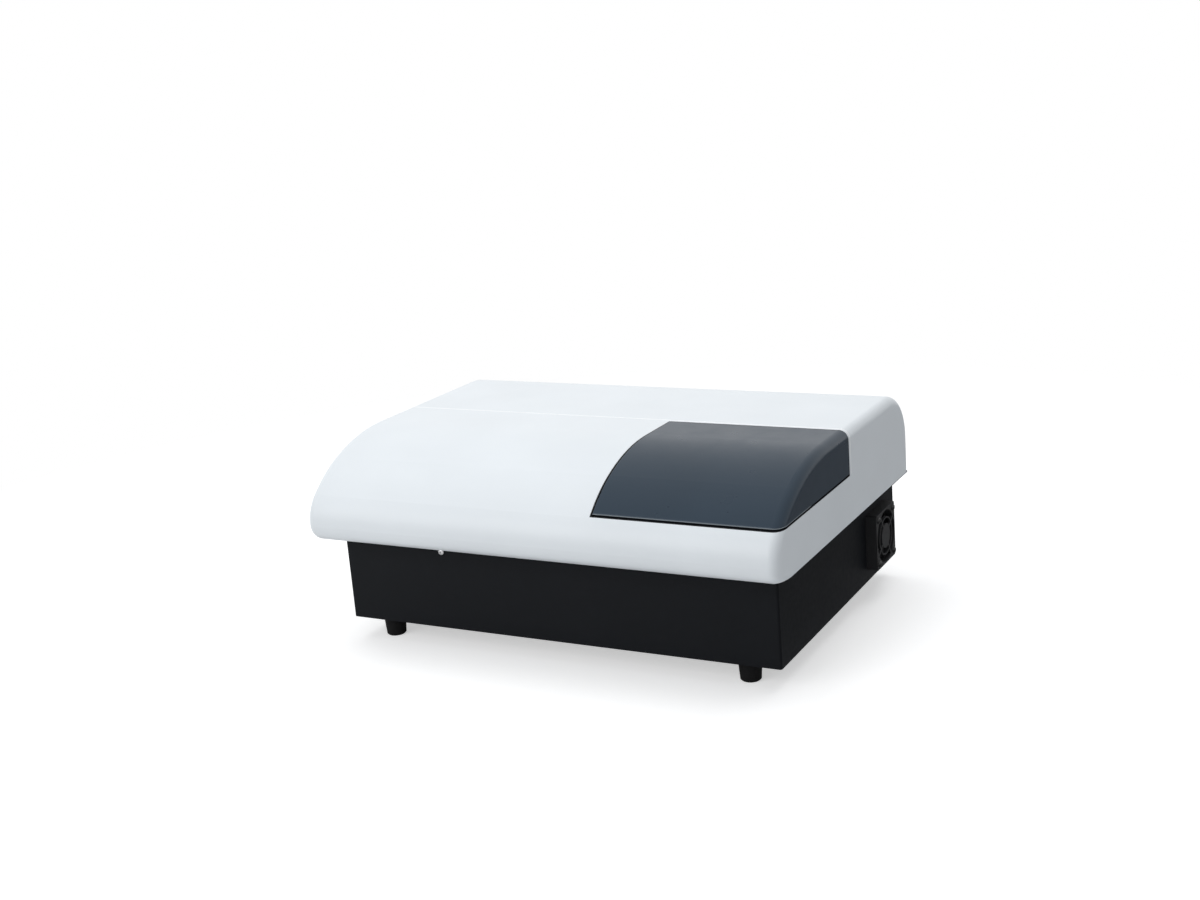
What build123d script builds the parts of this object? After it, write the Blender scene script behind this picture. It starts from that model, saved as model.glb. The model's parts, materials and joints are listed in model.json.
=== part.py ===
from build123d import *
from math import cos, radians, sin
import os

# Bench microplate reader. Millimetres, +X right, the front faces -Y, +Z up.
# The origin lies on the table, under the middle of the hood.

# ---------------------------------------------------------------- casing
body_width = 434.0
body_depth = 320.0
side_overhang = 14.0
front_overhang = 33.0
rear_overhang = 4.0
base_height = 80.0
foot_height = 20.0
foot_top_radius = 10.0
foot_bottom_radius = 8.6
foot_edge = 1.0
foot_bore_radius = 4.2
foot_web = 8.0
foot_inset_left = 29.0
foot_inset_right = 35.0
foot_inset_front = 20.0
foot_inset_rear = 24.0

sheet = 1.5
bend_radius = 2.0
front_flange = 12.0
flange_setback = 1.0
hood_wall = 3.0
side_round = 8.0
hood_tab_depth = 14.0
hood_tab_width = 10.0
hood_tab_reach = 9.0
tab_front_inset = 27.0
tab_rear_inset = 26.0
tab_middle_gaps = (110.0, 70.0)
front_boss = (16.0, 7.0)
boss_radius = 4.0
boss_rise = 12.0

# The hood's front is three arcs that tighten towards the nose, then a chin; its height is what they add up to.
crown_radius = 173.0
crown_sweep = 24.0
brow_radius = 124.0
brow_sweep = 20.0
nose_radius = 35.0
chin_radius = 15.0
chin_sweep = 66.8
chin_tail = 20.0
rear_radius = 45.0
crease_behind_lid = 4.6
crease_width = 1.2
crease_depth = 0.45
front_screw_inset = 100.3
front_screw_drop = 10.6
nose_screw_inset = 53.0
nose_screw_gap = 37.8

# ---------------------------------------------------------------- lid and sample bay
lid_depth = 163.2
lid_edge_rise = 40.6
lid_gap = 0.8
lid_proud = 0.8
lid_wall = 3.0
lid_edge_round = 1.2
barrel_radius = 3.6
barrel_reach = 12.0
hinge_pin_radius = 1.2
hinge_pin_length = 16.0
hinge_lug_width = 4.0
hinge_lug_radius = 2.0
hinge_lug_spread = 57.0
hinge_plate = 1.2
hinge_plate_reach = 10.0
hinge_screw_spread = 33.0
hinge_screw_setback = 9.8
liner_wall = 2.0
ledge_reach = 4.0
bay_play = 6.27
bay_front_inset = 22.0
bay_rear_gap = 11.2
sill_drop = 2.6
liner_flange_drop = 10.0
liner_flange_reach = 16.8
liner_left_tuck = 7.0
bumper_length = 10.0
bumper_depth = 6.5
bumper_inset = 1.5

# ---------------------------------------------------------------- microplate and its carriage
plate_length = 127.76
plate_width = 85.48
plate_height = 14.35
plate_play = 0.3
well_pitch = 9.0
well_rows = 8
rim_width = 4.5
rim_height = 4.0
carriage_plate = 4.0
carriage_corner = 5.0
carriage_rear_gap = 10.46
seat_ledge = 6.0
finger_notch = 34.0
saddle = 3.0
tunnel_play = 3.0
flag_thickness = 1.6
flag_length = 6.0

# ---------------------------------------------------------------- mechanism
deck_thickness = 3.0
deck_drop = 7.0
deck_gap = 1.5
cable_slot = (36.0, 14.0)
cable_slot_gap = 46.0
pillar_across = 4.5
pillar_left_inset = (12.0, 24.0)
pillar_front_inset = 14.0
pillar_right_inset = (31.0, 43.0)
pillar_side_inset = 8.0
pillar_supply_gap = 20.0
pillar_rear_inset = 16.0
pillar_corner_inset = (17.0, 14.0)
rod_radius = 4.0
rod_inset = 7.54
rod_lift = 19.0
rod_end_gap = 5.0
bearing_length = 24.0
bearing_offset = 34.0
bearing_housing = 7.0
bearing_radius = 5.6
screw_radius = 4.0
journal_radius = 2.5
screw_offset = 28.0
screw_lift = 22.0
nut_radius = 7.0
nut_flange_radius = 10.0
nut_flange_thickness = 4.0
nut_length = 24.0
nut_arm_width = 14.0
nut_arm_wall = 3.0
nut_arm_rise = 3.0
block_width = 12.0
block_margin = 5.0
block_foot = 12.0
bearing_seat = 8.0
bearing_thickness = 5.0
motor_size = 42.0
motor_length = 34.0
motor_side_gap = 19.0
motor_corner = 4.0
pilot_radius = 11.0
pilot_height = 2.0
shaft_depth = 15.0
coupler_radius = 9.0
coupler_length = 24.0
coupler_gap = 2.0
coupler_cut = 1.0
head_gap = 32.8
head_width = 30.0
head_clearance = 6.5
head_depth = 11.0
head_leg = 6.0
head_rear_leg = 12.0
head_slope = 14.0
head_face = 3.0
head_rear_reach = 25.0
lens_radius = 3.0
lens_height = 3.0
lens_seat = 0.5
light_block_sides = (7.0, 13.0)
light_block_margin = 5.0
light_gap = 2.0
detector_board_width = 36.0
detector_margin = 7.0
socket_strip = (14.0, 9.0, 4.0)
running = 0.05
slip = 0.02
clear = 0.3

# ---------------------------------------------------------------- light source
optic_setback = 58.0
optic_lift = 29.0
wheel_inset = 89.0
wheel_radius = 28.0
wheel_thickness = 3.0
wheel_hub_radius = 6.0
filter_radius = 5.0
filter_count = 8
filter_circle_radius = 20.0
filter_rim = 0.5
bracket_gap = 8.0
bracket_plate = 3.0
bracket_foot = 14.0
bracket_half = 22.0
bracket_top_half = 18.0
bracket_rise = 14.0
filter_motor_length = 16.0
filter_motor_radius = 14.0
filter_shaft_radius = 1.5
filter_shaft_reach = 7.0
collimator_radius = 5.0
collimator_bore = 3.6
collimator_length = 14.0
guide_radius = 2.0
guide_seat = 5.0
guide_run = 40.0
guide_drop_run = 46.0
guide_landing = 18.0
guide_bends = (17.0, 90.0, 13.0)
lamp_box_length = 66.0
lamp_box_width = 48.0
lamp_box_height = 57.0
lamp_box_gap = 8.0
lamp_gap = 2.0
lamp_slot = (34.0, 3.0)
lamp_slot_pitch = 7.0
lamp_slot_count = 7
tube_radius = 8.0
tube_wall = 1.5
tube_tuck = 10.0
condenser_thickness = 5.0
lamp_socket_size = (14.0, 16.0)
lamp_socket_inset = 12.0
lamp_socket_rise = 7.0
lamp_radius = 4.5
lamp_length = 16.5

# ---------------------------------------------------------------- fan and rear wall
fan_size = 50.0
fan_depth = 10.0
fan_rear_inset = 53.4
fan_lift = 35.8
fan_rim = 1.6
fan_corner = 2.5
fan_hub_radius = 11.0
fan_blades = 7
fan_blade = 1.2
fan_blade_angle = 38.0
fan_tip_gap = 0.8
fan_hole_inset = 5.0
fan_cutout_rim = 1.9
fan_strut = 1.8
fan_struts = 4
fan_strut_turn = 32.0
fan_cup_depth = 2.2
fan_face_gap = 0.8
fan_stub_start = 2.5
guard_wire = 1.2
inlet_inset = 53.0
switch_spacing = 45.0
connector_drop = 13.0
inlet_body = (27.0, 19.6, 18.0)
inlet_flange = (50.0, 24.0, 2.0)
inlet_corner = 4.0
inlet_hole_spread = 20.0
pocket = (24.0, 15.8, 15.5)
pocket_cut = 4.5
pin = (2.0, 4.0, 10.0)
pin_spread = 7.0
pin_rise = 2.0
switch_body = (13.4, 19.4, 15.0)
bezel = (17.4, 24.4, 1.6)
bezel_corner = 1.5
switch_cavity = (11.6, 18.2, 12.6)
rocker_size = (11.0, 8.2)
rocker_tilt = 8.0
rocker_front = 2.5
rocker_back = 5.0
rocker_heel = 1.0
pivot_depth = 2.0
pivot_radius = 1.0
pivot_reach = 0.6
port_from_board = 15.0
port_lift = 19.0
port_body = (18.0, 10.0, 9.0)
port_flange = (31.0, 12.6, 0.8)
port_corner = 1.5
port_shell = (16.6, 8.0, 3.2)
port_shell_cut = 1.6
port_pitch = 2.76
port_row_gap = 2.8
port_hole_radius = 0.55
port_hole_depth = 2.0
cutout_play = 0.2
vent_slot = (22.0, 3.0)
vent_pitch = 8.0
vent_count = 10
vent_row_gap = 30.0
vent_rear_inset = 66.0

# ---------------------------------------------------------------- electronics
board_size = (160.0, 200.0)
board_right_gap = 53.0
board_rear_gap = 11.0
board_inset = 6.0
board_lift = 6.0
board_thickness = 1.6
standoff_across = 3.2
processor = (24.0, 24.0, 3.0)
power_coil = (30.0, 14.0, 12.0)
memory_chip = (16.0, 8.0, 4.0)
cable_header = (20.0, 8.0, 9.0)
header_pitch = 26.0
header_count = 3
capacitor_radius = 6.0
capacitor_height = 18.0
capacitor_pitch = 18.0
capacitor_count = 3
supply_size = (116.0, 102.0, 30.0)
supply_side_gap = 11.0
supply_rear_gap = 6.0
supply_foot_radius = 4.0
supply_foot_inset = (8.0, 34.0)
supply_slot = (34.0, 3.0, 1.0)
supply_slot_pitch = (9.0, 44.0)
supply_slot_count = (11, 2)

# ---------------------------------------------------------------- fasteners
screw_thread = 1.5
screw_head = 2.9
screw_head_height = 1.8
screw_head_taper = 18.0
hole_play = 0.1
deck_screw_length = 9.0
floor_screw_length = 8.0
cover_screw_length = 6.0
hinge_screw_length = 5.5
inlet_screw_length = 7.0
board_screw_length = 6.0
screw_grip = 4.0

# ---------------------------------------------------------------- worked-out places
base_width = body_width - 2 * side_overhang
base_depth = body_depth - front_overhang - rear_overhang
crown_turn = radians(crown_sweep)
brow_turn = radians(crown_sweep + brow_sweep)
hood_run = (crown_radius * sin(crown_turn) + brow_radius * (sin(brow_turn) - sin(crown_turn))
            + nose_radius * (1 - sin(brow_turn)))
hood_height = (crown_radius * (1 - cos(crown_turn)) + brow_radius * (cos(crown_turn) - cos(brow_turn))
               + nose_radius * cos(brow_turn) + chin_radius * sin(radians(chin_sweep)))
base_bottom = foot_height
base_top = base_bottom + base_height
hood_top = base_top + hood_height
half_width = body_width / 2
half_depth = body_depth / 2
base_rear = half_depth - rear_overhang
base_front = base_rear - base_depth
base_side = base_width / 2
floor_top = base_bottom + sheet
deck_top = base_top - deck_drop
deck_bottom = deck_top - deck_thickness
nest_length = plate_length + 2 * plate_play
nest_width = plate_width + 2 * plate_play
carriage_length = nest_length + 2 * rim_width
carriage_width = nest_width + 2 * rim_width
liner_right = half_width - hood_wall - clear
bay_right_x = liner_right - liner_wall
bay_left_x = bay_right_x - carriage_length - 2 * bay_play
lid_left = bay_left_x - ledge_reach
lid_width = half_width - lid_left
load_x = (bay_left_x + bay_right_x) / 2
lid_rear_y = lid_depth - half_depth
lid_edge_z = base_top + lid_edge_rise
hinge_y = lid_rear_y - barrel_radius
hinge_z = hood_top + lid_proud - barrel_radius
hinge_lug_x = (load_x - hinge_lug_spread, load_x + hinge_lug_spread)
hinge_screw_x = (load_x - hinge_screw_spread, load_x, load_x + hinge_screw_spread)
hinge_screw_y = lid_rear_y + hinge_screw_setback
bay_front_y = bay_front_inset - half_depth
bay_rear_y = lid_rear_y - bay_rear_gap
bay_bottom_z = base_top + hood_wall + clear + liner_wall
bay_sill_z = lid_edge_z - sill_drop
liner_flange_z = hood_top - liner_flange_drop
liner_flange_rear_y = lid_rear_y + liner_flange_reach
bay_y = bay_rear_y - carriage_rear_gap - carriage_width / 2
rod_z = deck_top + rod_lift
carriage_bottom = rod_z + bearing_housing + saddle
seat_z = carriage_bottom + carriage_plate
rod_front_y = bay_y - carriage_width / 2 + rod_inset
rod_rear_y = bay_y + carriage_width / 2 - rod_inset
screw_y = rod_rear_y + screw_offset
screw_z = deck_top + screw_lift
motor_x = (motor_side_gap - base_side, motor_side_gap + motor_length - base_side)
rod_left_x = motor_x[1]
rod_right_x = base_side - rod_end_gap
head_x = lid_left - head_gap
head_z = seat_z + plate_height + head_clearance
optic_y = screw_y + optic_setback
optic_z = deck_top + optic_lift
wheel_x = wheel_inset - base_side
wheel_z = optic_z + filter_circle_radius
fan_y = base_rear - fan_rear_inset
fan_z = base_bottom + fan_lift
fan_bore_radius = fan_size / 2 - fan_rim
inlet_x = inlet_inset - base_side
switch_x = inlet_x + switch_spacing
connector_z = deck_bottom - connector_drop
board_high = (base_side - board_right_gap, base_rear - board_rear_gap)
board_low = (board_high[0] - board_size[0], board_high[1] - board_size[1])
board_place = ((board_low[0] + board_high[0]) / 2, (board_low[1] + board_high[1]) / 2)
board_bottom = floor_top + board_lift
board_top = board_bottom + board_thickness
port_x = board_place[0] - port_from_board
port_z = base_bottom + port_lift
supply_x = (supply_side_gap - base_side, supply_side_gap + supply_size[0] - base_side)
supply_y = (base_rear - supply_rear_gap - supply_size[1], base_rear - supply_rear_gap)
front_screw_x = front_screw_inset - base_side
front_screw_z = base_top - front_screw_drop
front_screw_y = base_front - front_flange / 2
nose_screw_x = (nose_screw_inset - base_side, lid_left - nose_screw_gap)
flange_side_x = (base_side + half_width - hood_wall) / 2 + flange_setback

BOTTOM = (Align.CENTER, Align.CENTER, Align.MIN)
LOW_CORNER = (Align.MIN, Align.MIN, Align.MIN)

os.makedirs("parts", exist_ok=True)


def write(piece, name):
    """Label one finished piece and write it as its own file."""
    piece.part.label = name
    export_step(piece.part, f"parts/{name}.step")


def block(x, y, z, mode=Mode.ADD):
    """A box given by its low and high ends along each axis."""
    with Locations((x[0], y[0], z[0])):
        Box(x[1] - x[0], y[1] - y[0], z[1] - z[0], align=LOW_CORNER, mode=mode)


def rod(x, y, z, radius, mode=Mode.ADD):
    """A round bar along X, from x[0] to x[1]."""
    with BuildSketch(Plane.YZ.offset(x[0])) as section:
        with Locations((y, z)):
            Circle(radius)
    extrude(section.sketch, amount=x[1] - x[0], mode=mode)


def post(x, y, z, radius, mode=Mode.ADD):
    """A round bar along Z, from z[0] to z[1]."""
    with BuildSketch(Plane.XY.offset(z[0])) as section:
        with Locations((x, y)):
            Circle(radius)
    extrude(section.sketch, amount=z[1] - z[0], mode=mode)


def around(centre, reach):
    """The low and high ends of a span that reaches as far to each side of its centre."""
    return (centre - reach, centre + reach)


def screw_set(name, *sets):
    """Pan-head screws, each at a plane on the clamped face whose normal runs out along the head."""
    with BuildPart() as group:
        for seats, length in sets:
            for seat in seats:
                with BuildSketch(seat):
                    Circle(screw_head)
                extrude(amount=screw_head_height, taper=screw_head_taper)
                with BuildSketch(seat):
                    Circle(screw_thread)
                extrude(amount=-length)
    write(group, name)


def hood_form(inset, half_span, edge_round):
    """The hood's form with every face moved inwards by inset, half_span to each side."""
    with BuildPart() as form:
        with BuildSketch(Plane.YZ):
            with BuildLine():
                top = Line((half_depth - rear_radius, hood_top - inset), (hood_run - half_depth, hood_top - inset))
                crown = JernArc(top @ 1, top % 1, crown_radius - inset, crown_sweep)
                brow = JernArc(crown @ 1, crown % 1, brow_radius - inset, brow_sweep)
                nose = JernArc(brow @ 1, brow % 1, nose_radius - inset, 90 - crown_sweep - brow_sweep)
                chin = JernArc(nose @ 1, nose % 1, chin_radius - inset, chin_sweep)
                tail = Line(chin @ 1, chin @ 1 + chin % 1 * chin_tail)
                floor = Line(tail @ 1, (half_depth - inset, (tail @ 1).Y))
                rear = Line(floor @ 1, (half_depth - inset, hood_top - rear_radius))
                JernArc(rear @ 1, rear % 1, rear_radius - inset, 90)
            make_face()
        extrude(amount=half_span, both=True)
        ends = form.faces().filter_by(Axis.X).edges()
        fillet(ends.filter_by(lambda e: e.center().Z > (floor @ 1).Y + 1), edge_round)
        split(bisect_by=Plane.XY.offset(base_top + max(inset, 0)), keep=Keep.TOP)
    return form.part


outer_form = hood_form(0, half_width, side_round)
inner_form = hood_form(hood_wall, half_width - hood_wall, side_round - hood_wall)
liner_form = hood_form(hood_wall + clear, liner_right, side_round - hood_wall - clear)

# The blocks by which the tray's flange holds the cover, on the left and on the right
tab_rear_y = base_rear - tab_rear_inset
side_tabs = [(-flange_side_x, base_front + tab_front_inset), (-flange_side_x, tab_rear_y - tab_middle_gaps[0]),
             (-flange_side_x, tab_rear_y), (flange_side_x, tab_rear_y - tab_middle_gaps[1]),
             (flange_side_x, tab_rear_y)]
cover_holes = side_tabs + [(x, front_screw_y) for x in nose_screw_x]
pillar_places = [
    (-base_side + pillar_left_inset[0], base_front + pillar_left_inset[1]),
    (0.0, base_front + pillar_front_inset),
    (base_side - pillar_right_inset[0], base_front + pillar_right_inset[1]),
    (-base_side + pillar_side_inset, supply_y[0] - pillar_supply_gap),
    ((supply_x[1] + board_low[0]) / 2, base_rear - pillar_rear_inset),
    (base_side - pillar_corner_inset[0], base_rear - pillar_corner_inset[1]),
]
feet = {
    "foot_front_left": (-base_side + foot_inset_left, base_front + foot_inset_front),
    "foot_front_right": (base_side - foot_inset_right, base_front + foot_inset_front),
    "foot_rear_left": (-base_side + foot_inset_left, base_rear - foot_inset_rear),
    "foot_rear_right": (base_side - foot_inset_right, base_rear - foot_inset_rear),
}

# ================================================================ base tray
fan_wall = Plane(origin=(base_side, fan_y, fan_z), x_dir=(0, 1, 0), z_dir=(1, 0, 0))
left_wall = Plane(origin=(-base_side, base_rear - vent_rear_inset, base_bottom + base_height / 2),
                  x_dir=(0, -1, 0), z_dir=(-1, 0, 0))
front_wall = Plane(origin=(front_screw_x, base_front, front_screw_z), x_dir=(1, 0, 0), z_dir=(0, -1, 0))
inlet_plane = Plane(origin=(inlet_x, base_rear, connector_z), x_dir=(-1, 0, 0), z_dir=(0, 1, 0))
switch_plane = Plane(origin=(switch_x, base_rear, connector_z), x_dir=(-1, 0, 0), z_dir=(0, 1, 0))
port_plane = Plane(origin=(port_x, base_rear, port_z), x_dir=(-1, 0, 0), z_dir=(0, 1, 0))
fan_hole_pitch = fan_size - 2 * fan_hole_inset

with BuildPart() as base_tray:
    block((-base_side, base_side), (base_front, base_rear), (base_bottom, base_top))
    fillet(base_tray.edges().filter_by(Axis.Z), bend_radius)
    flange_x = half_width - flange_setback
    block((-flange_x, flange_x), (base_front - front_flange, half_depth - flange_setback),
          (base_top - sheet, base_top))
    block((sheet - base_side, base_side - sheet), (base_front + sheet, base_rear - sheet),
          (floor_top, base_top), Mode.SUBTRACT)
    with BuildSketch(fan_wall):
        Circle(fan_bore_radius - fan_cutout_rim)
        with GridLocations(fan_hole_pitch, fan_hole_pitch, 2, 2):
            Circle(screw_thread + hole_play)
    extrude(amount=-sheet, mode=Mode.SUBTRACT)
    with BuildSketch(inlet_plane):
        Rectangle(inlet_body[0] + 2 * cutout_play, inlet_body[1] + 2 * cutout_play)
        with GridLocations(2 * inlet_hole_spread, 1, 2, 1):
            Circle(screw_thread + hole_play)
    extrude(amount=-sheet, mode=Mode.SUBTRACT)
    with BuildSketch(switch_plane):
        Rectangle(switch_body[0] + 2 * cutout_play, switch_body[1] + 2 * cutout_play)
    extrude(amount=-sheet, mode=Mode.SUBTRACT)
    with BuildSketch(port_plane):
        Rectangle(port_body[0] + 2 * cutout_play, port_body[1] + 2 * cutout_play)
    extrude(amount=-sheet, mode=Mode.SUBTRACT)
    with BuildSketch(left_wall):
        with GridLocations(vent_pitch, vent_row_gap, vent_count, 2):
            SlotOverall(vent_slot[0], vent_slot[1], rotation=90)
    extrude(amount=-sheet, mode=Mode.SUBTRACT)
    with BuildSketch(front_wall):
        Circle(screw_thread + hole_play)
    extrude(amount=-sheet, mode=Mode.SUBTRACT)
    for x, y in cover_holes:
        post(x, y, (base_top - sheet, base_top), screw_thread + hole_play, Mode.SUBTRACT)
    for x, y in pillar_places + list(feet.values()):
        post(x, y, (base_bottom, floor_top), screw_thread + hole_play, Mode.SUBTRACT)
write(base_tray, "base_tray")

# ================================================================ feet
foot_web_z = foot_height - foot_web
for name, (x, y) in feet.items():
    with BuildPart() as foot:
        with BuildSketch(Plane.XZ.offset(-y)):
            with BuildLine():
                bottom = Line((x, 0), (x + foot_bottom_radius - foot_edge, 0))
                edge = Line(bottom @ 1, (x + foot_bottom_radius, foot_edge))
                Polyline(edge @ 1, (x + foot_top_radius, foot_height), (x, foot_height), (x, 0))
            make_face()
        revolve(axis=Axis((x, y, 0), (0, 0, 1)))
        post(x, y, (0, foot_web_z), foot_bore_radius, Mode.SUBTRACT)
        post(x, y, (0, foot_height), screw_thread + hole_play, Mode.SUBTRACT)
    write(foot, name)
foot_seats = [Plane(origin=(x, y, foot_web_z), z_dir=(0, 0, -1)) for x, y in feet.values()]
screw_set("foot_screws", (foot_seats, foot_web + sheet + screw_grip))

# ================================================================ hood cover
tab_x_reach = half_width - flange_side_x
with BuildPart() as cover_blocks:
    for x, y in side_tabs:
        block(sorted((x - tab_x_reach / 2 * x / abs(x), x + tab_x_reach * x / abs(x))),
              around(y, hood_tab_width / 2), (base_top, base_top + hood_tab_depth))
    add(Box(body_width - 2 * hood_wall, body_depth, 2 * hood_top, mode=Mode.PRIVATE), mode=Mode.INTERSECT)
    for x, y in side_tabs:
        post(x, y, (base_top, base_top + hood_tab_reach), screw_thread + slip, Mode.SUBTRACT)
write(cover_blocks, "cover_blocks")

with BuildPart() as cover_ribs:
    with Locations((front_screw_x, base_front + sheet + clear, front_screw_z - front_boss[1])):
        Box(front_boss[0], hood_wall, hood_height, align=(Align.CENTER, Align.MIN, Align.MIN))
    for x in hinge_screw_x:
        post(x, hinge_screw_y, (liner_flange_z + liner_wall + hinge_plate, hood_top), boss_radius)
    for x in nose_screw_x:
        post(x, front_screw_y, (base_top, base_top + boss_rise), boss_radius)
    tab_below = Box(body_width, body_depth, base_top + hood_wall * 3, align=BOTTOM, mode=Mode.PRIVATE)
    add(tab_below + hood_form(hood_wall / 2, half_width - hood_wall / 2, side_round - hood_wall / 2),
        mode=Mode.INTERSECT)

with BuildPart() as cover:
    add(outer_form)
    add(inner_form, mode=Mode.SUBTRACT)
    block((hood_wall - half_width, half_width - hood_wall), (base_front, half_depth - hood_wall),
          (base_top - hood_wall, base_top + 2 * hood_wall), Mode.SUBTRACT)
    add(cover_ribs.part)
    block((lid_left - lid_gap, body_width), (-body_depth, lid_rear_y + lid_gap),
          (lid_edge_z - lid_gap, 2 * hood_top), Mode.SUBTRACT)
    crease_y = lid_rear_y + crease_behind_lid
    with BuildSketch(Plane.YZ.offset(-half_width)):
        with BuildLine():
            Polyline((crease_y - crease_width / 2, hood_top), (crease_y, hood_top - crease_depth),
                     (crease_y + crease_width / 2, hood_top), close=True)
        make_face()
    extrude(amount=body_width, mode=Mode.SUBTRACT)
    with BuildSketch(front_wall):
        Circle(screw_thread + slip)
    extrude(amount=-sheet - clear - hood_wall, mode=Mode.SUBTRACT)
    for x in nose_screw_x:
        post(x, front_screw_y, (base_top, base_top + hood_tab_reach), screw_thread + slip, Mode.SUBTRACT)
    for x in hinge_screw_x:
        post(x, hinge_screw_y, (liner_flange_z, hood_top - hood_wall), screw_thread + slip, Mode.SUBTRACT)
write(cover, "cover")

under = [Plane(origin=(x, y, base_top - sheet), z_dir=(0, 0, -1)) for x, y in cover_holes]
screw_set("cover_screws", (under + [front_wall], cover_screw_length))

# ================================================================ sample bay liner
inner_left_x = bay_left_x - liner_wall
with BuildPart() as liner_walls:
    block((inner_left_x, liner_right), (bay_front_y - liner_wall, bay_rear_y + liner_wall), (bay_bottom_z, hood_top))
    add(liner_form, mode=Mode.INTERSECT)
    block((bay_left_x, bay_right_x), (bay_front_y, bay_rear_y), (bay_bottom_z, hood_top), Mode.SUBTRACT)

tunnel_half = carriage_width / 2 + tunnel_play
tunnel_top = head_z
liner_left_x = lid_left - lid_gap - liner_left_tuck
with BuildPart() as bay_liner:
    add(liner_form)
    skin = hood_wall + clear + liner_wall
    add(hood_form(skin, bay_right_x, side_round - skin), mode=Mode.SUBTRACT)
    block((liner_left_x, half_width), (-half_depth, liner_flange_rear_y), (bay_bottom_z, hood_top), Mode.INTERSECT)
    block((bay_left_x, bay_right_x), (bay_front_y, bay_rear_y), (bay_bottom_z, hood_top), Mode.SUBTRACT)
    block((-half_width, half_width), (bay_rear_y + liner_wall, liner_flange_rear_y),
          (liner_flange_z, hood_top), Mode.SUBTRACT)
    add(liner_walls.part)
    block((liner_left_x, liner_right), (bay_rear_y, liner_flange_rear_y),
          (liner_flange_z, liner_flange_z + liner_wall))
    block((bay_right_x - ledge_reach, half_width), (bay_front_y, bay_rear_y), (bay_sill_z, hood_top),
          Mode.SUBTRACT)
    block((inner_left_x - liner_wall, bay_left_x + liner_wall), around(bay_y, tunnel_half),
          (bay_bottom_z, tunnel_top), Mode.SUBTRACT)
    block((inner_left_x - liner_wall, bay_right_x), (bay_y + tunnel_half - liner_wall, bay_rear_y + 2 * liner_wall),
          (bay_bottom_z, carriage_bottom + nut_arm_rise + 2 * saddle), Mode.SUBTRACT)
    for x in hinge_screw_x:
        post(x, hinge_screw_y, (liner_flange_z, liner_flange_z + liner_wall), screw_thread + hole_play, Mode.SUBTRACT)
write(bay_liner, "bay_liner")

# Soft pads on the liner's front ledge, under the lid
with BuildPart() as lid_bumpers:
    for x in hinge_lug_x:
        block(around(x, bumper_length / 2), (bay_front_y - bumper_inset - bumper_depth, bay_front_y - bumper_inset),
              (lid_edge_z, hood_top))
    add(hood_form(lid_wall - lid_proud + clear, liner_right, side_round - hood_wall), mode=Mode.INTERSECT)
    add(liner_form, mode=Mode.SUBTRACT)
write(lid_bumpers, "lid_bumpers")

# ================================================================ lid hinge
plate_z = liner_flange_z + liner_wall
lug_half = hinge_lug_width / 2
lug_stem = hinge_lug_radius * 0.8
with BuildPart() as lid_hinge_bracket:
    block((hinge_lug_x[0] - hinge_plate_reach, hinge_lug_x[1] + hinge_plate_reach),
          (hinge_y - 2 * hinge_plate, liner_flange_rear_y), (plate_z, plate_z + hinge_plate))
    for x in hinge_lug_x:
        block(around(x, lug_half), around(hinge_y, lug_stem), (plate_z, hinge_z))
        rod(around(x, lug_half), hinge_y, hinge_z, hinge_lug_radius)
        rod(around(x, lug_half), hinge_y, hinge_z, hinge_pin_radius + slip, Mode.SUBTRACT)
    for x in hinge_screw_x:
        post(x, hinge_screw_y, (plate_z, plate_z + hinge_plate), screw_thread + hole_play, Mode.SUBTRACT)
write(lid_hinge_bracket, "lid_hinge_bracket")

with BuildPart() as lid_hinge_pins:
    for x in hinge_lug_x:
        rod(around(x, hinge_pin_length / 2), hinge_y, hinge_z, hinge_pin_radius)
write(lid_hinge_pins, "lid_hinge_pins")
hinge_seats = [Plane(origin=(x, hinge_screw_y, liner_flange_z), z_dir=(0, 0, -1)) for x in hinge_screw_x]
screw_set("hinge_screws", (hinge_seats, hinge_screw_length))

# ================================================================ lid
with BuildPart() as lid:
    add(hood_form(-lid_proud, half_width, side_round))
    block((lid_left, body_width), (-body_depth, lid_rear_y), (lid_edge_z, 2 * hood_top), Mode.INTERSECT)
    left_face = lid.faces().sort_by(Axis.X)[0]
    low_face = lid.faces().sort_by(Axis.Z)[0]
    rim = [e for e in left_face.edges() + low_face.edges()
           if e.bounding_box().max.Y < lid_rear_y or e.bounding_box().size.Y > lid_gap]
    rim = [e for e in rim if not (e.bounding_box().max.X < lid_left + lid_gap
                                  and e.bounding_box().max.Z < lid_edge_z + lid_gap)]
    fillet(rim, lid_edge_round)
    inner = lid_wall - lid_proud
    add(hood_form(inner, half_width - lid_wall, side_round - lid_wall)
        & Pos(lid_left, lid_rear_y, 0) * Box(body_width, body_depth, 2 * hood_top,
                                             align=(Align.MIN, Align.MAX, Align.MIN), mode=Mode.PRIVATE),
        mode=Mode.SUBTRACT)
    rod((lid_left, hinge_lug_x[1] + barrel_reach), hinge_y, hinge_z, barrel_radius)
    with BuildSketch(Plane.YZ.offset(lid_left)):
        with Locations((hinge_y, hinge_z)):
            Rectangle(2 * barrel_radius, 2 * barrel_radius, align=(Align.MIN, Align.MIN))
            Circle(barrel_radius, mode=Mode.SUBTRACT)
    extrude(amount=lid_width, mode=Mode.SUBTRACT)
    notch = lug_half + clear
    for x in hinge_lug_x:
        rod(around(x, notch), hinge_y, hinge_z, hinge_lug_radius + clear, Mode.SUBTRACT)
        block(around(x, notch), (hinge_y - hinge_lug_radius - clear, lid_rear_y + lid_gap),
              (hinge_z - 2 * barrel_radius, hinge_z), Mode.SUBTRACT)
        block(around(x, notch), (hinge_y, lid_rear_y + lid_gap), around(hinge_z, hinge_lug_radius + clear),
              Mode.SUBTRACT)
        rod(around(x, hinge_pin_length / 2 + clear), hinge_y, hinge_z, hinge_pin_radius + running, Mode.SUBTRACT)
write(lid, "lid")

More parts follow.
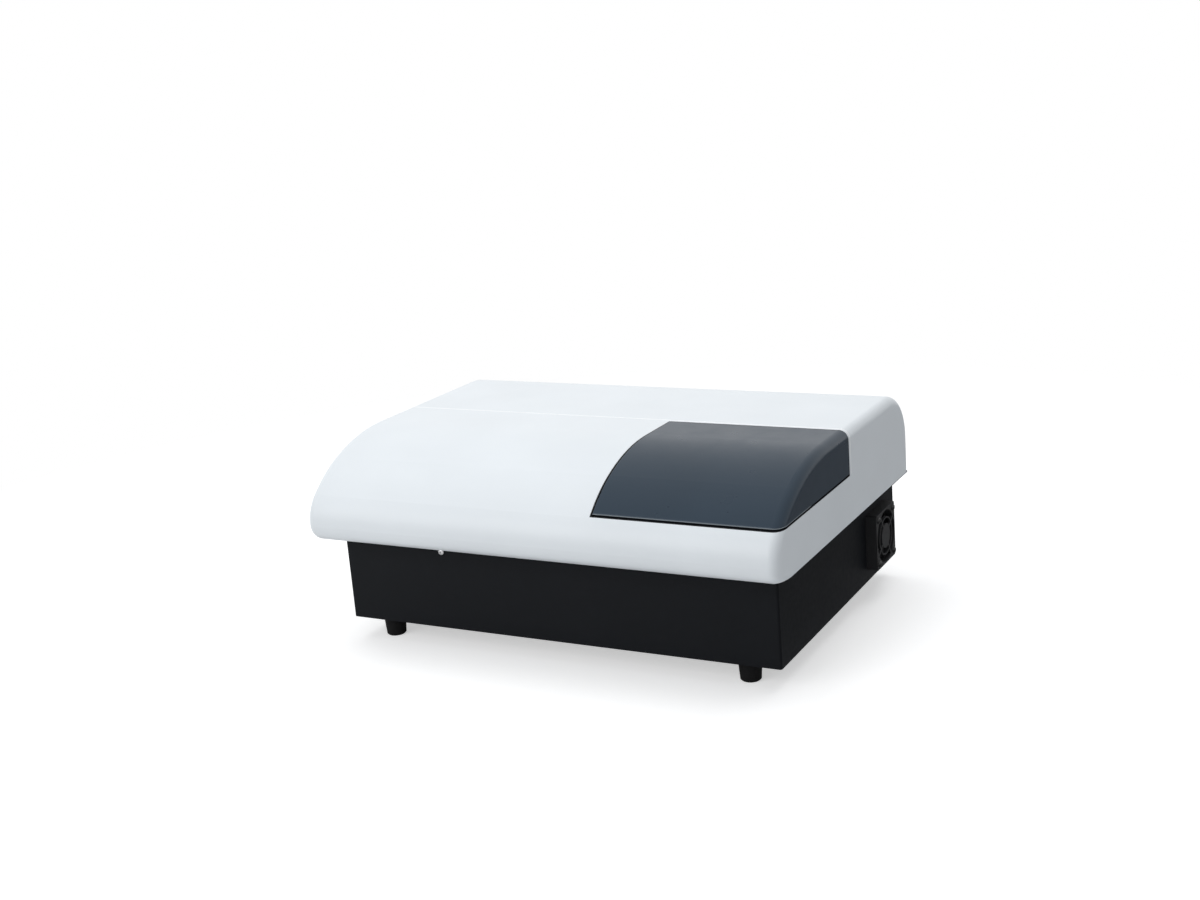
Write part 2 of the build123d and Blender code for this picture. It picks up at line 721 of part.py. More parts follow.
# ================================================================ mechanism deck
deck_inset = sheet + deck_gap
cable_slot_y = screw_y + motor_size / 2 + cable_slot_gap + lamp_box_width / 2
with BuildPart() as mechanism_deck:
    block((deck_inset - base_side, base_side - deck_inset), (base_front + deck_inset, base_rear - deck_inset),
          (deck_bottom, deck_top))
    for x, y in pillar_places:
        post(x, y, (deck_bottom, deck_top), screw_thread + hole_play, Mode.SUBTRACT)
    with BuildSketch(Plane.XY.offset(deck_top)):
        with Locations((board_place[0], cable_slot_y)):
            with GridLocations(cable_slot_gap, 1, 3, 1):
                SlotOverall(*cable_slot)
    extrude(amount=-deck_thickness, mode=Mode.SUBTRACT)
    block(around(front_screw_x, front_boss[0] / 2 + deck_gap),
          (base_front, base_front + sheet + clear + hood_wall + deck_gap), (deck_bottom, deck_top), Mode.SUBTRACT)
write(mechanism_deck, "mechanism_deck")

with BuildPart() as deck_pillars:
    for x, y in pillar_places:
        with BuildSketch(Plane.XY.offset(floor_top)):
            with Locations((x, y)):
                RegularPolygon(pillar_across, 6)
                Circle(screw_thread + slip, mode=Mode.SUBTRACT)
        extrude(amount=deck_bottom - floor_top)
write(deck_pillars, "deck_pillars")
screw_set("deck_screws",
          ([Plane(origin=(x, y, deck_top), z_dir=(0, 0, 1)) for x, y in pillar_places], deck_screw_length),
          ([Plane(origin=(x, y, base_bottom), z_dir=(0, 0, -1)) for x, y in pillar_places], floor_screw_length))

# ================================================================ slide: end blocks, rods, screw
left_block_x = (rod_left_x, rod_left_x + block_width)
right_block_x = (rod_right_x - block_width, rod_right_x)
block_top = rod_z + rod_radius + block_margin
bearing_margin = 3.0


def end_block(x, rear_y, rise_y, rear_top, bore):
    """A plate across the deck that holds both rods and one end of the lead screw."""
    front_y = rod_front_y - block_foot
    with BuildPart() as plate:
        with BuildSketch(Plane.YZ.offset(x[0])):
            with BuildLine():
                Polyline((front_y, deck_top), (rear_y, deck_top), (rear_y, rear_top), (rise_y, rear_top),
                         (rise_y - bearing_margin, block_top), (front_y, block_top), close=True)
            make_face()
            with Locations((rod_front_y, rod_z), (rod_rear_y, rod_z)):
                Circle(rod_radius + slip, mode=Mode.SUBTRACT)
            with Locations((screw_y, screw_z)):
                Circle(bore, mode=Mode.SUBTRACT)
        extrude(amount=x[1] - x[0])
    return plate


rod_block_left = end_block(left_block_x, screw_y + motor_size / 2 + bearing_margin, screw_y - motor_size / 2,
                           screw_z + motor_size / 2 + bearing_margin, pilot_radius + slip)
write(rod_block_left, "rod_block_left")
rod_block_right = end_block(right_block_x, screw_y + block_foot, screw_y - bearing_seat - bearing_margin,
                            screw_z + bearing_seat + bearing_margin, bearing_seat + slip)
write(rod_block_right, "rod_block_right")

for name, y in (("guide_rod_front", rod_front_y), ("guide_rod_rear", rod_rear_y)):
    with BuildPart() as guide_rod:
        rod((rod_left_x, rod_right_x), y, rod_z, rod_radius)
        chamfer(guide_rod.edges(), rod_radius / 8)
    write(guide_rod, name)

coupler_x = (left_block_x[1] + coupler_gap, left_block_x[1] + coupler_gap + coupler_length)
coupler_middle = (coupler_x[0] + coupler_x[1]) / 2
with BuildPart() as drive_motor:
    with BuildSketch(Plane.YZ.offset(motor_x[0])):
        with Locations((screw_y, screw_z)):
            Rectangle(motor_size, motor_size)
    extrude(amount=motor_length)
    chamfer(drive_motor.edges().filter_by(Axis.X), motor_corner)
    rod((motor_x[1], motor_x[1] + pilot_height), screw_y, screw_z, pilot_radius)
    rod((motor_x[1] - shaft_depth - clear, motor_x[1] + pilot_height), screw_y, screw_z,
        journal_radius + running, Mode.SUBTRACT)
write(drive_motor, "drive_motor")

with BuildPart() as motor_shaft:
    rod((motor_x[1] - shaft_depth, coupler_middle - coupler_cut), screw_y, screw_z, journal_radius)
write(motor_shaft, "motor_shaft")

with BuildPart() as shaft_coupler:
    rod(coupler_x, screw_y, screw_z, coupler_radius)
    rod((coupler_x[0], coupler_middle), screw_y, screw_z, journal_radius + slip, Mode.SUBTRACT)
    rod((coupler_middle, coupler_x[1]), screw_y, screw_z, screw_radius + slip, Mode.SUBTRACT)
    cut_depth = (coupler_radius + screw_radius) / 3
    for step in (-3, -1, 1, 3):
        cut_z = (screw_z + cut_depth, screw_z + coupler_radius)
        if step in (-1, 3):
            cut_z = (screw_z - coupler_radius, screw_z - cut_depth)
        block(around(coupler_middle + step * 2 * coupler_cut, coupler_cut / 2), around(screw_y, coupler_radius),
              cut_z, Mode.SUBTRACT)
write(shaft_coupler, "shaft_coupler")

bearing_x = (right_block_x[0] + bearing_margin, right_block_x[0] + bearing_margin + bearing_thickness)
with BuildPart() as lead_screw:
    rod((coupler_middle + coupler_cut, bearing_x[0] - 1), screw_y, screw_z, screw_radius)
    rod((bearing_x[0] - 1, rod_right_x - 1), screw_y, screw_z, journal_radius)
write(lead_screw, "lead_screw")

with BuildPart() as screw_bearing:
    rod(bearing_x, screw_y, screw_z, bearing_seat)
    rod(bearing_x, screw_y, screw_z, journal_radius + running, Mode.SUBTRACT)
    ring = (bearing_seat - journal_radius) / 4
    for face_x in (bearing_x[0], bearing_x[1] - ring / 2):
        with BuildSketch(Plane.YZ.offset(face_x)):
            with Locations((screw_y, screw_z)):
                Circle(bearing_seat - ring)
                Circle(journal_radius + ring, mode=Mode.SUBTRACT)
        extrude(amount=ring / 2, mode=Mode.SUBTRACT)
write(screw_bearing, "screw_bearing")

# ================================================================ plate carriage
sensor_y = screw_y + nut_arm_wall + 2.0
flag_z = deck_top + 5.0
housing_x = (load_x - bearing_offset, load_x + bearing_offset)
nut_x = around(load_x, nut_length / 2)
arm_x = around(load_x, nut_arm_width / 2)
with BuildPart() as carriage:
    with BuildSketch(Plane.XY.offset(carriage_bottom)):
        with Locations((load_x, bay_y)):
            RectangleRounded(carriage_length, carriage_width, carriage_corner)
            Rectangle(plate_length - 2 * seat_ledge, plate_width - 2 * seat_ledge, mode=Mode.SUBTRACT)
    extrude(amount=carriage_plate)
    with BuildSketch(Plane.XY.offset(seat_z)):
        with Locations((load_x, bay_y)):
            RectangleRounded(carriage_length, carriage_width, carriage_corner)
            Rectangle(nest_length, nest_width, mode=Mode.SUBTRACT)
            Rectangle(finger_notch, 2 * carriage_width, mode=Mode.SUBTRACT)
    extrude(amount=rim_height)
    for x in housing_x:
        for y in (rod_front_y, rod_rear_y):
            block(around(x, bearing_length / 2), around(y, bearing_housing),
                  (rod_z - bearing_housing, carriage_bottom))
            rod(around(x, bearing_length / 2), y, rod_z, bearing_radius + slip, Mode.SUBTRACT)
    block(arm_x, (rod_rear_y + rod_radius + 1, screw_y + nut_radius + nut_arm_wall),
          (screw_z - nut_radius - nut_arm_wall, carriage_bottom + nut_arm_rise))
    block(arm_x, (bay_y + carriage_width / 2 - carriage_corner, bay_y + carriage_width / 2 + 1),
          (carriage_bottom, carriage_bottom + nut_arm_rise))
    rod(arm_x, screw_y, screw_z, nut_radius + slip, Mode.SUBTRACT)
    block((load_x - flag_length / 3, load_x + flag_length * 2 / 3), around(sensor_y, flag_thickness / 2),
          (flag_z, screw_z - nut_radius - nut_arm_wall / 2))
write(carriage, "carriage")

with BuildPart() as carriage_bearings:
    for x in housing_x:
        for y in (rod_front_y, rod_rear_y):
            rod(around(x, bearing_length / 2), y, rod_z, bearing_radius)
            rod(around(x, bearing_length / 2), y, rod_z, rod_radius + running, Mode.SUBTRACT)
write(carriage_bearings, "carriage_bearings")

with BuildPart() as screw_nut:
    rod(nut_x, screw_y, screw_z, nut_radius)
    rod((arm_x[0] - nut_flange_thickness, arm_x[0]), screw_y, screw_z, nut_flange_radius)
    rod(nut_x, screw_y, screw_z, screw_radius + running, Mode.SUBTRACT)
write(screw_nut, "screw_nut")

# ================================================================ optical head over the carriage
row_half = (well_rows - 1) / 2 * well_pitch
channels = [bay_y - row_half + i * well_pitch for i in range(well_rows)]
head_front = base_front + deck_inset
head_rear = screw_y + head_rear_reach
with BuildPart() as optical_head:
    with BuildSketch(Plane.YZ.offset(head_x - head_width / 2)):
        with BuildLine():
            Polyline((head_front, deck_top), (head_front, head_z + head_face),
                     (head_front + head_slope, head_z + head_depth), (head_rear, head_z + head_depth),
                     (head_rear, deck_top), (head_rear - head_rear_leg, deck_top), (head_rear - head_rear_leg, head_z),
                     (head_front + head_leg, head_z), (head_front + head_leg, deck_top), close=True)
        make_face()
    extrude(amount=head_width)
    for y in channels:
        post(head_x, y, (head_z, head_z + head_depth), lens_radius + slip, Mode.SUBTRACT)
write(optical_head, "optical_head")

with BuildPart() as head_lenses:
    for y in channels:
        post(head_x, y, (head_z + lens_seat, head_z + lens_seat + lens_height), lens_radius)
write(head_lenses, "head_lenses")

detector_z = head_z + head_depth
detector_top = detector_z + board_thickness
with BuildPart() as detector_board:
    block(around(head_x, detector_board_width / 2),
          (channels[0] - detector_margin, channels[-1] + detector_margin + socket_strip[1]),
          (detector_z, detector_top))
    block(around(head_x, socket_strip[0] / 2), around(channels[-1] + detector_margin, socket_strip[1] / 2),
          (detector_top, detector_top + socket_strip[2]))
write(detector_board, "detector_board")

# ================================================================ light block under the carriage
light_top = rod_z - bearing_housing - light_gap
light_block_x = (head_x - light_block_sides[0], head_x + light_block_sides[1])
with BuildPart() as light_block:
    block(light_block_x, (channels[0] - light_block_margin, channels[-1] + light_block_margin), (deck_top, light_top))
    for y in channels:
        post(head_x, y, (light_top - lens_height - lens_seat, light_top), lens_radius + slip, Mode.SUBTRACT)
write(light_block, "light_block")

with BuildPart() as light_lenses:
    for y in channels:
        post(head_x, y, (light_top - lens_height - lens_seat, light_top - lens_seat), lens_radius)
write(light_lenses, "light_lenses")

# ================================================================ lamp, filter wheel and light guide
bracket_x = (wheel_x + bracket_gap, wheel_x + bracket_gap + bracket_plate)
collimator_end = bracket_x[0] + collimator_length
with BuildPart() as filter_bracket:
    with BuildSketch(Plane.YZ.offset(bracket_x[0])):
        with BuildLine():
            Polyline((optic_y - bracket_half, deck_top), (optic_y + bracket_half, deck_top),
                     (optic_y + bracket_top_half, wheel_z + bracket_rise),
                     (optic_y - bracket_top_half, wheel_z + bracket_rise), close=True)
        make_face()
        with Locations((optic_y, wheel_z)):
            Circle(filter_shaft_radius + clear, mode=Mode.SUBTRACT)
        with Locations((optic_y, optic_z)):
            Circle(collimator_radius + slip, mode=Mode.SUBTRACT)
    extrude(amount=bracket_plate)
    block((bracket_x[1], bracket_x[1] + bracket_foot), around(optic_y, bracket_half),
          (deck_top, deck_top + bracket_plate))
write(filter_bracket, "filter_bracket")

with BuildPart() as filter_motor:
    rod((bracket_x[1], bracket_x[1] + filter_motor_length), optic_y, wheel_z, filter_motor_radius)
    rod((bracket_x[1], bracket_x[1] + filter_shaft_reach + 1), optic_y, wheel_z, filter_shaft_radius + running,
        Mode.SUBTRACT)
write(filter_motor, "filter_motor")

with BuildPart() as filter_wheel:
    rod((wheel_x, wheel_x + wheel_thickness), optic_y, wheel_z, wheel_radius)
    rod((wheel_x, bracket_x[0] - 1), optic_y, wheel_z, wheel_hub_radius)
    rod((wheel_x, bracket_x[0] - 1), optic_y, wheel_z, filter_shaft_radius + slip, Mode.SUBTRACT)
    with BuildSketch(Plane.YZ.offset(wheel_x)):
        with Locations((optic_y, wheel_z)):
            with PolarLocations(filter_circle_radius, filter_count, start_angle=-90):
                Circle(filter_radius)
    extrude(amount=wheel_thickness, mode=Mode.SUBTRACT)
write(filter_wheel, "filter_wheel")

with BuildPart() as wheel_shaft:
    rod((wheel_x, bracket_x[1] + filter_shaft_reach), optic_y, wheel_z, filter_shaft_radius)
write(wheel_shaft, "wheel_shaft")

with BuildPart() as optical_filters:
    with BuildSketch(Plane.YZ.offset(wheel_x + filter_rim)):
        with Locations((optic_y, wheel_z)):
            with PolarLocations(filter_circle_radius, filter_count, start_angle=-90):
                Circle(filter_radius - slip)
    extrude(amount=wheel_thickness - 2 * filter_rim)
write(optical_filters, "optical_filters")

with BuildPart() as collimator:
    rod((bracket_x[0], collimator_end), optic_y, optic_z, collimator_radius)
    rod((collimator_end - guide_seat - 1, collimator_end), optic_y, optic_z, guide_radius + slip, Mode.SUBTRACT)
    rod((bracket_x[0], bracket_x[0] + guide_seat), optic_y, optic_z, collimator_bore, Mode.SUBTRACT)
write(collimator, "collimator")

lamp_box_x = (wheel_x - lamp_gap - lamp_box_gap - lamp_box_length, wheel_x - lamp_gap - lamp_box_gap)
lamp_box_y = around(optic_y, lamp_box_width / 2)
lamp_box_top = deck_top + lamp_box_height
with BuildPart() as lamp_housing:
    block(lamp_box_x, lamp_box_y, (deck_top, lamp_box_top))
    block((lamp_box_x[0] + sheet, lamp_box_x[1] - sheet), (lamp_box_y[0] + sheet, lamp_box_y[1] - sheet),
          (deck_top + sheet, lamp_box_top - sheet), Mode.SUBTRACT)
    rod((lamp_box_x[1] - sheet, lamp_box_x[1]), optic_y, optic_z, tube_radius + slip, Mode.SUBTRACT)
    with BuildSketch(Plane.XY.offset(lamp_box_top)):
        with Locations(((lamp_box_x[0] + lamp_box_x[1]) / 2, optic_y)):
            with GridLocations(lamp_slot_pitch, 1, lamp_slot_count, 1):
                SlotOverall(lamp_slot[0], lamp_slot[1], rotation=90)
    extrude(amount=-sheet, mode=Mode.SUBTRACT)
write(lamp_housing, "lamp_housing")

tube_x = (lamp_box_x[1] - tube_tuck, wheel_x - lamp_gap)
with BuildPart() as lens_tube:
    rod(tube_x, optic_y, optic_z, tube_radius)
    rod(tube_x, optic_y, optic_z, tube_radius - tube_wall, Mode.SUBTRACT)
write(lens_tube, "lens_tube")

with BuildPart() as condenser_lens:
    rod((lamp_box_x[1] - condenser_thickness - 1, lamp_box_x[1] - 1), optic_y, optic_z,
        tube_radius - tube_wall - slip)
write(condenser_lens, "condenser_lens")

socket_x = (lamp_box_x[0] + lamp_socket_inset, lamp_box_x[0] + lamp_socket_inset + lamp_socket_size[0])
with BuildPart() as lamp_socket:
    block(socket_x, around(optic_y, lamp_socket_size[1] / 2), (deck_top + sheet, optic_z + lamp_socket_rise))
write(lamp_socket, "lamp_socket")

with BuildPart() as halogen_lamp:
    with BuildSketch(Plane.XZ.offset(-optic_y)):
        with BuildLine():
            glass = Polyline((socket_x[1], optic_z), (socket_x[1], optic_z + lamp_radius),
                             (socket_x[1] + lamp_length - lamp_radius, optic_z + lamp_radius))
            tip = RadiusArc(glass @ 1, (socket_x[1] + lamp_length, optic_z), lamp_radius)
            Line(tip @ 1, glass @ 0)
        make_face()
    revolve(axis=Axis((0, optic_y, optic_z), (1, 0, 0)))
write(halogen_lamp, "halogen_lamp")

# The light guide, a bundle that runs from the collimator to the light block
guide_x = collimator_end + guide_run
guide_z = (deck_top + light_top) / 2
guide_points = [
    (collimator_end - guide_seat, optic_y, optic_z),
    (guide_x, optic_y, optic_z),
    (guide_x, optic_y - guide_drop_run, guide_z),
    (guide_x, bay_y + guide_landing, guide_z),
    (light_block_x[0], bay_y + guide_landing, guide_z),
]
with BuildPart() as light_guide:
    with BuildLine() as route:
        FilletPolyline(*guide_points, radius=list(guide_bends))
    with BuildSketch(Plane(origin=route.line @ 0, z_dir=route.line % 0)):
        Circle(guide_radius)
    sweep()
write(light_guide, "light_guide")

# ================================================================ carriage home sensor
sensor_x = (load_x - flag_length * 2 / 3, load_x + flag_length)
with BuildPart() as home_sensor:
    block(sensor_x, around(sensor_y, 6.0), (deck_top, flag_z - 2.0))
    for side in (-1, 1):
        block(sensor_x, sorted((sensor_y + side * 2.2, sensor_y + side * 6.0)), (deck_top, flag_z + 4.5))
write(home_sensor, "home_sensor")

# ================================================================ fan
guard_radius = (fan_hub_radius + fan_bore_radius) / 2
with BuildPart() as fan_housing:
    with BuildSketch(fan_wall):
        RectangleRounded(fan_size, fan_size, fan_corner)
        Circle(fan_bore_radius, mode=Mode.SUBTRACT)
        with GridLocations(fan_hole_pitch, fan_hole_pitch, 2, 2):
            Circle(screw_thread + hole_play, mode=Mode.SUBTRACT)
    extrude(amount=fan_depth)
    with BuildSketch(fan_wall.offset(fan_depth - fan_cup_depth)):
        Circle(guard_radius)
        Circle(guard_radius - guard_wire, mode=Mode.SUBTRACT)
        Circle(fan_hub_radius)
        with PolarLocations(0, fan_struts, start_angle=fan_strut_turn):
            Rectangle(fan_bore_radius + fan_rim / 2, fan_strut, align=(Align.MIN, Align.CENTER))
    extrude(amount=fan_cup_depth)
    with BuildSketch(fan_wall.offset(fan_stub_start)):
        Circle(screw_thread)
    extrude(amount=fan_depth - fan_cup_depth - fan_stub_start)
write(fan_housing, "fan_housing")

rotor_height = fan_depth - fan_cup_depth - 2 * fan_face_gap
with BuildPart(fan_wall.offset(fan_face_gap)) as fan_rotor:
    Cylinder(fan_hub_radius, rotor_height, align=BOTTOM)
    with PolarLocations(guard_radius - fan_blade, fan_blades):
        with Locations((0, 0, rotor_height / 2)):
            Box(fan_bore_radius - fan_hub_radius + fan_blade, fan_blade, rotor_height + fan_blade,
                rotation=(fan_blade_angle, 0, 0))
    Cylinder(fan_bore_radius - fan_tip_gap, rotor_height, align=BOTTOM, mode=Mode.INTERSECT)
    with Locations((0, 0, fan_stub_start - fan_face_gap - clear)):
        Cylinder(screw_thread + running, rotor_height, align=BOTTOM, mode=Mode.SUBTRACT)
write(fan_rotor, "fan_rotor")

fan_seats = [fan_wall.offset(fan_depth) * Pos(sy * fan_hole_pitch / 2, sz * fan_hole_pitch / 2, 0)
             for sy in (-1, 1) for sz in (-1, 1)]
screw_set("fan_screws", (fan_seats, fan_depth + sheet + screw_grip))

# ================================================================ rear wall fittings
with BuildPart() as power_inlet:
    with BuildSketch(inlet_plane):
        RectangleRounded(inlet_flange[0], inlet_flange[1], inlet_corner)
        with GridLocations(2 * inlet_hole_spread, 1, 2, 1):
            Circle(screw_thread + hole_play, mode=Mode.SUBTRACT)
    extrude(amount=inlet_flange[2])
    with BuildSketch(inlet_plane):
        Rectangle(inlet_body[0], inlet_body[1])
    extrude(amount=-inlet_body[2])
    with BuildSketch(inlet_plane.offset(inlet_flange[2])) as mouth:
        Rectangle(pocket[0], pocket[1])
        chamfer(mouth.vertices().group_by(Axis.Z)[0], pocket_cut)
    extrude(amount=-pocket[2], mode=Mode.SUBTRACT)
    with BuildSketch(inlet_plane.offset(inlet_flange[2] - pocket[2])):
        with Locations((0, -pin_rise), (-pin_spread, pin_rise), (pin_spread, pin_rise)):
            Rectangle(pin[0], pin[1])
    extrude(amount=pin[2])
write(power_inlet, "power_inlet")
inlet_seats = [inlet_plane.offset(inlet_flange[2]) * Pos(side * inlet_hole_spread, 0, 0) for side in (-1, 1)]
screw_set("inlet_screws", (inlet_seats, inlet_screw_length))

pivot_y = base_rear - pivot_depth
pivot_x = around(switch_x, rocker_size[0] / 2 + pivot_reach)
with BuildPart() as switch_bezel:
    with BuildSketch(switch_plane):
        RectangleRounded(bezel[0], bezel[1], bezel_corner)
    extrude(amount=bezel[2])
    with BuildSketch(switch_plane):
        Rectangle(switch_body[0], switch_body[1])
    extrude(amount=-switch_body[2])
    with BuildSketch(switch_plane.offset(bezel[2])):
        Rectangle(switch_cavity[0], switch_cavity[1])
    extrude(amount=-switch_cavity[2], mode=Mode.SUBTRACT)
    rod((pivot_x[0] - clear, pivot_x[1] + clear), pivot_y, connector_z, pivot_radius + running, Mode.SUBTRACT)
write(switch_bezel, "switch_bezel")

tilt = radians(rocker_tilt)
rocker_plane = Plane(origin=(switch_x - rocker_size[0] / 2, pivot_y, connector_z),
                     x_dir=(0, cos(tilt), sin(tilt)), z_dir=(1, 0, 0))
with BuildPart() as power_rocker:
    with BuildSketch(rocker_plane):
        with BuildLine():
            half = rocker_size[1]
            rise = rocker_front + half * sin(tilt)
            face = Polyline((-rocker_heel, -half), (rise, -half), (rocker_front, 0), (rise, half), (-rocker_heel, half))
            ThreePointArc(face @ 1, (-rocker_back, 0), face @ 0)
        make_face()
    extrude(amount=rocker_size[0])
    rod(pivot_x, pivot_y, connector_z, pivot_radius)
write(power_rocker, "power_rocker")

with BuildPart() as serial_port:
    with BuildSketch(port_plane.offset(-sheet)):
        RectangleRounded(port_flange[0], port_flange[1], port_corner)
    extrude(amount=-port_flange[2])
    with BuildSketch(port_plane.offset(port_shell[2])) as shell_outline:
        Rectangle(port_shell[0], port_shell[1])
        chamfer(shell_outline.vertices().group_by(Axis.Z)[0], port_shell_cut)
    extrude(amount=-port_shell[2] - sheet)
    with BuildSketch(port_plane.offset(-sheet - port_flange[2])):
        Rectangle(port_body[0], port_body[1])
    extrude(amount=-port_body[2])
    with BuildSketch(port_plane.offset(port_shell[2])):
        with Locations((0, port_row_gap / 2)):
            with GridLocations(port_pitch, 1, 5, 1):
                Circle(port_hole_radius)
        with Locations((0, -port_row_gap / 2)):
            with GridLocations(port_pitch, 1, 4, 1):
                Circle(port_hole_radius)
    extrude(amount=-port_hole_depth, mode=Mode.SUBTRACT)
write(serial_port, "serial_port")

# ================================================================ electronics under the deck
hole_span = (board_size[0] - 2 * board_inset, board_size[1] - 2 * board_inset)
with BuildPart() as main_board:
    block((board_low[0], board_high[0]), (board_low[1], board_high[1]), (board_bottom, board_top))
    with Locations((board_place[0] - processor[0], board_place[1] - processor[1], board_top)):
        Box(*processor, align=BOTTOM)
    with Locations((board_place[0] + power_coil[0], board_place[1] - power_coil[0], board_top)):
        Box(*power_coil, align=BOTTOM)
    with Locations((board_place[0] + power_coil[0], board_place[1] + power_coil[0], board_top)):
        Box(*memory_chip, align=BOTTOM)
    with Locations((board_low[0] + 2 * capacitor_pitch, board_place[1] + capacitor_pitch, board_top)):
        with GridLocations(1, capacitor_pitch, 1, capacitor_count):
            Cylinder(capacitor_radius, capacitor_height, align=BOTTOM)
    with Locations((board_place[0], board_low[1] + cable_header[1], board_top)):
        with GridLocations(header_pitch, 1, header_count, 1):
            Box(*cable_header, align=BOTTOM)
    with Locations((*board_place, board_bottom)):
        with GridLocations(hole_span[0], hole_span[1], 2, 2):
            Cylinder(screw_thread + hole_play, 4 * board_thickness, mode=Mode.SUBTRACT)
write(main_board, "main_board")

with BuildPart() as board_standoffs:
    with BuildSketch(Plane.XY.offset(floor_top)):
        with Locations(board_place):
            with GridLocations(hole_span[0], hole_span[1], 2, 2):
                RegularPolygon(standoff_across, 6)
                Circle(screw_thread + slip, mode=Mode.SUBTRACT)
    extrude(amount=board_lift)
write(board_standoffs, "board_standoffs")
board_seats = [Plane(origin=(x, y, board_top), z_dir=(0, 0, 1))
               for x in (board_low[0] + board_inset, board_high[0] - board_inset)
               for y in (board_low[1] + board_inset, board_high[1] - board_inset)]
screw_set("board_screws", (board_seats, board_screw_length))

supply_top = board_bottom + supply_size[2]
with BuildPart() as power_supply:
    block(supply_x, supply_y, (board_bottom, supply_top))
    with BuildSketch(Plane.XY.offset(supply_top)):
        with Locations(((supply_x[0] + supply_x[1]) / 2, (supply_y[0] + supply_y[1]) / 2)):
            with GridLocations(*supply_slot_pitch, *supply_slot_count):
                SlotOverall(supply_slot[0], supply_slot[1], rotation=90)
    extrude(amount=-supply_slot[2], mode=Mode.SUBTRACT)
    for x in (supply_x[0] + supply_foot_inset[0], supply_x[1] - supply_foot_inset[0]):
        for y in (supply_y[0] + supply_foot_inset[1], supply_y[1] - supply_foot_inset[1]):
            post(x, y, (floor_top, board_bottom), supply_foot_radius)
write(power_supply, "power_supply")
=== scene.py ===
"""Looks for the bench microplate reader: finishes for every part, fine detail, stage, light and camera."""
import json
import math

import bmesh
import bpy
from mathutils import Matrix, Vector


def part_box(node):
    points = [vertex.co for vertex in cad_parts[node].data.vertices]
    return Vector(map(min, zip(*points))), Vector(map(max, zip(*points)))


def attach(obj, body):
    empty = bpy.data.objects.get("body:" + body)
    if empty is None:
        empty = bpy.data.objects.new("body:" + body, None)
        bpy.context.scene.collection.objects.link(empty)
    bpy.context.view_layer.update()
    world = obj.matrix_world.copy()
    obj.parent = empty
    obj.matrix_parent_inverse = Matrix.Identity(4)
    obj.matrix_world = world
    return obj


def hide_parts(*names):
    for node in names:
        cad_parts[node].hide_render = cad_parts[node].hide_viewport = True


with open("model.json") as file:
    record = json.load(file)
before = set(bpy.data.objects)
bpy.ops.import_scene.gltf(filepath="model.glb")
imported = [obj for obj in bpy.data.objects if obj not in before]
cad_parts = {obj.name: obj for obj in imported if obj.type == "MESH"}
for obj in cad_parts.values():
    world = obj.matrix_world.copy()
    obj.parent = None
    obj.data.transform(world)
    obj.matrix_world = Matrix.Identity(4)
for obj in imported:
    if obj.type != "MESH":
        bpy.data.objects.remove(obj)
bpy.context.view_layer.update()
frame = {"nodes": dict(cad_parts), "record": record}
nodes = frame["nodes"]
scene = bpy.context.scene
MM = 0.001


# ------------------------------------------------------------------ camera
def set_camera():
    """A 36 mm wide frame, placed and turned as the picture was taken."""
    place, film_width, focal_length = (0.6516, -1.2034, 0.5181), 36, 48.48
    yaw, pitch, roll = (math.radians(a) for a in (28.857, 15.014, -4.545))
    forward = Vector((-math.sin(yaw) * math.cos(pitch), math.cos(yaw) * math.cos(pitch), -math.sin(pitch)))
    right = Vector((math.cos(yaw), math.sin(yaw), 0))
    up = right.cross(forward)
    across = math.cos(roll) * right + math.sin(roll) * up
    upright = math.cos(roll) * up - math.sin(roll) * right
    data = bpy.data.cameras.new("camera")
    data.sensor_width = film_width
    data.lens = focal_length
    camera = bpy.data.objects.new("camera", data)
    scene.collection.objects.link(camera)
    turn = Matrix((across, upright, -forward)).transposed().to_4x4()
    camera.matrix_world = Matrix.Translation(place) @ turn
    scene.camera = camera


set_camera()


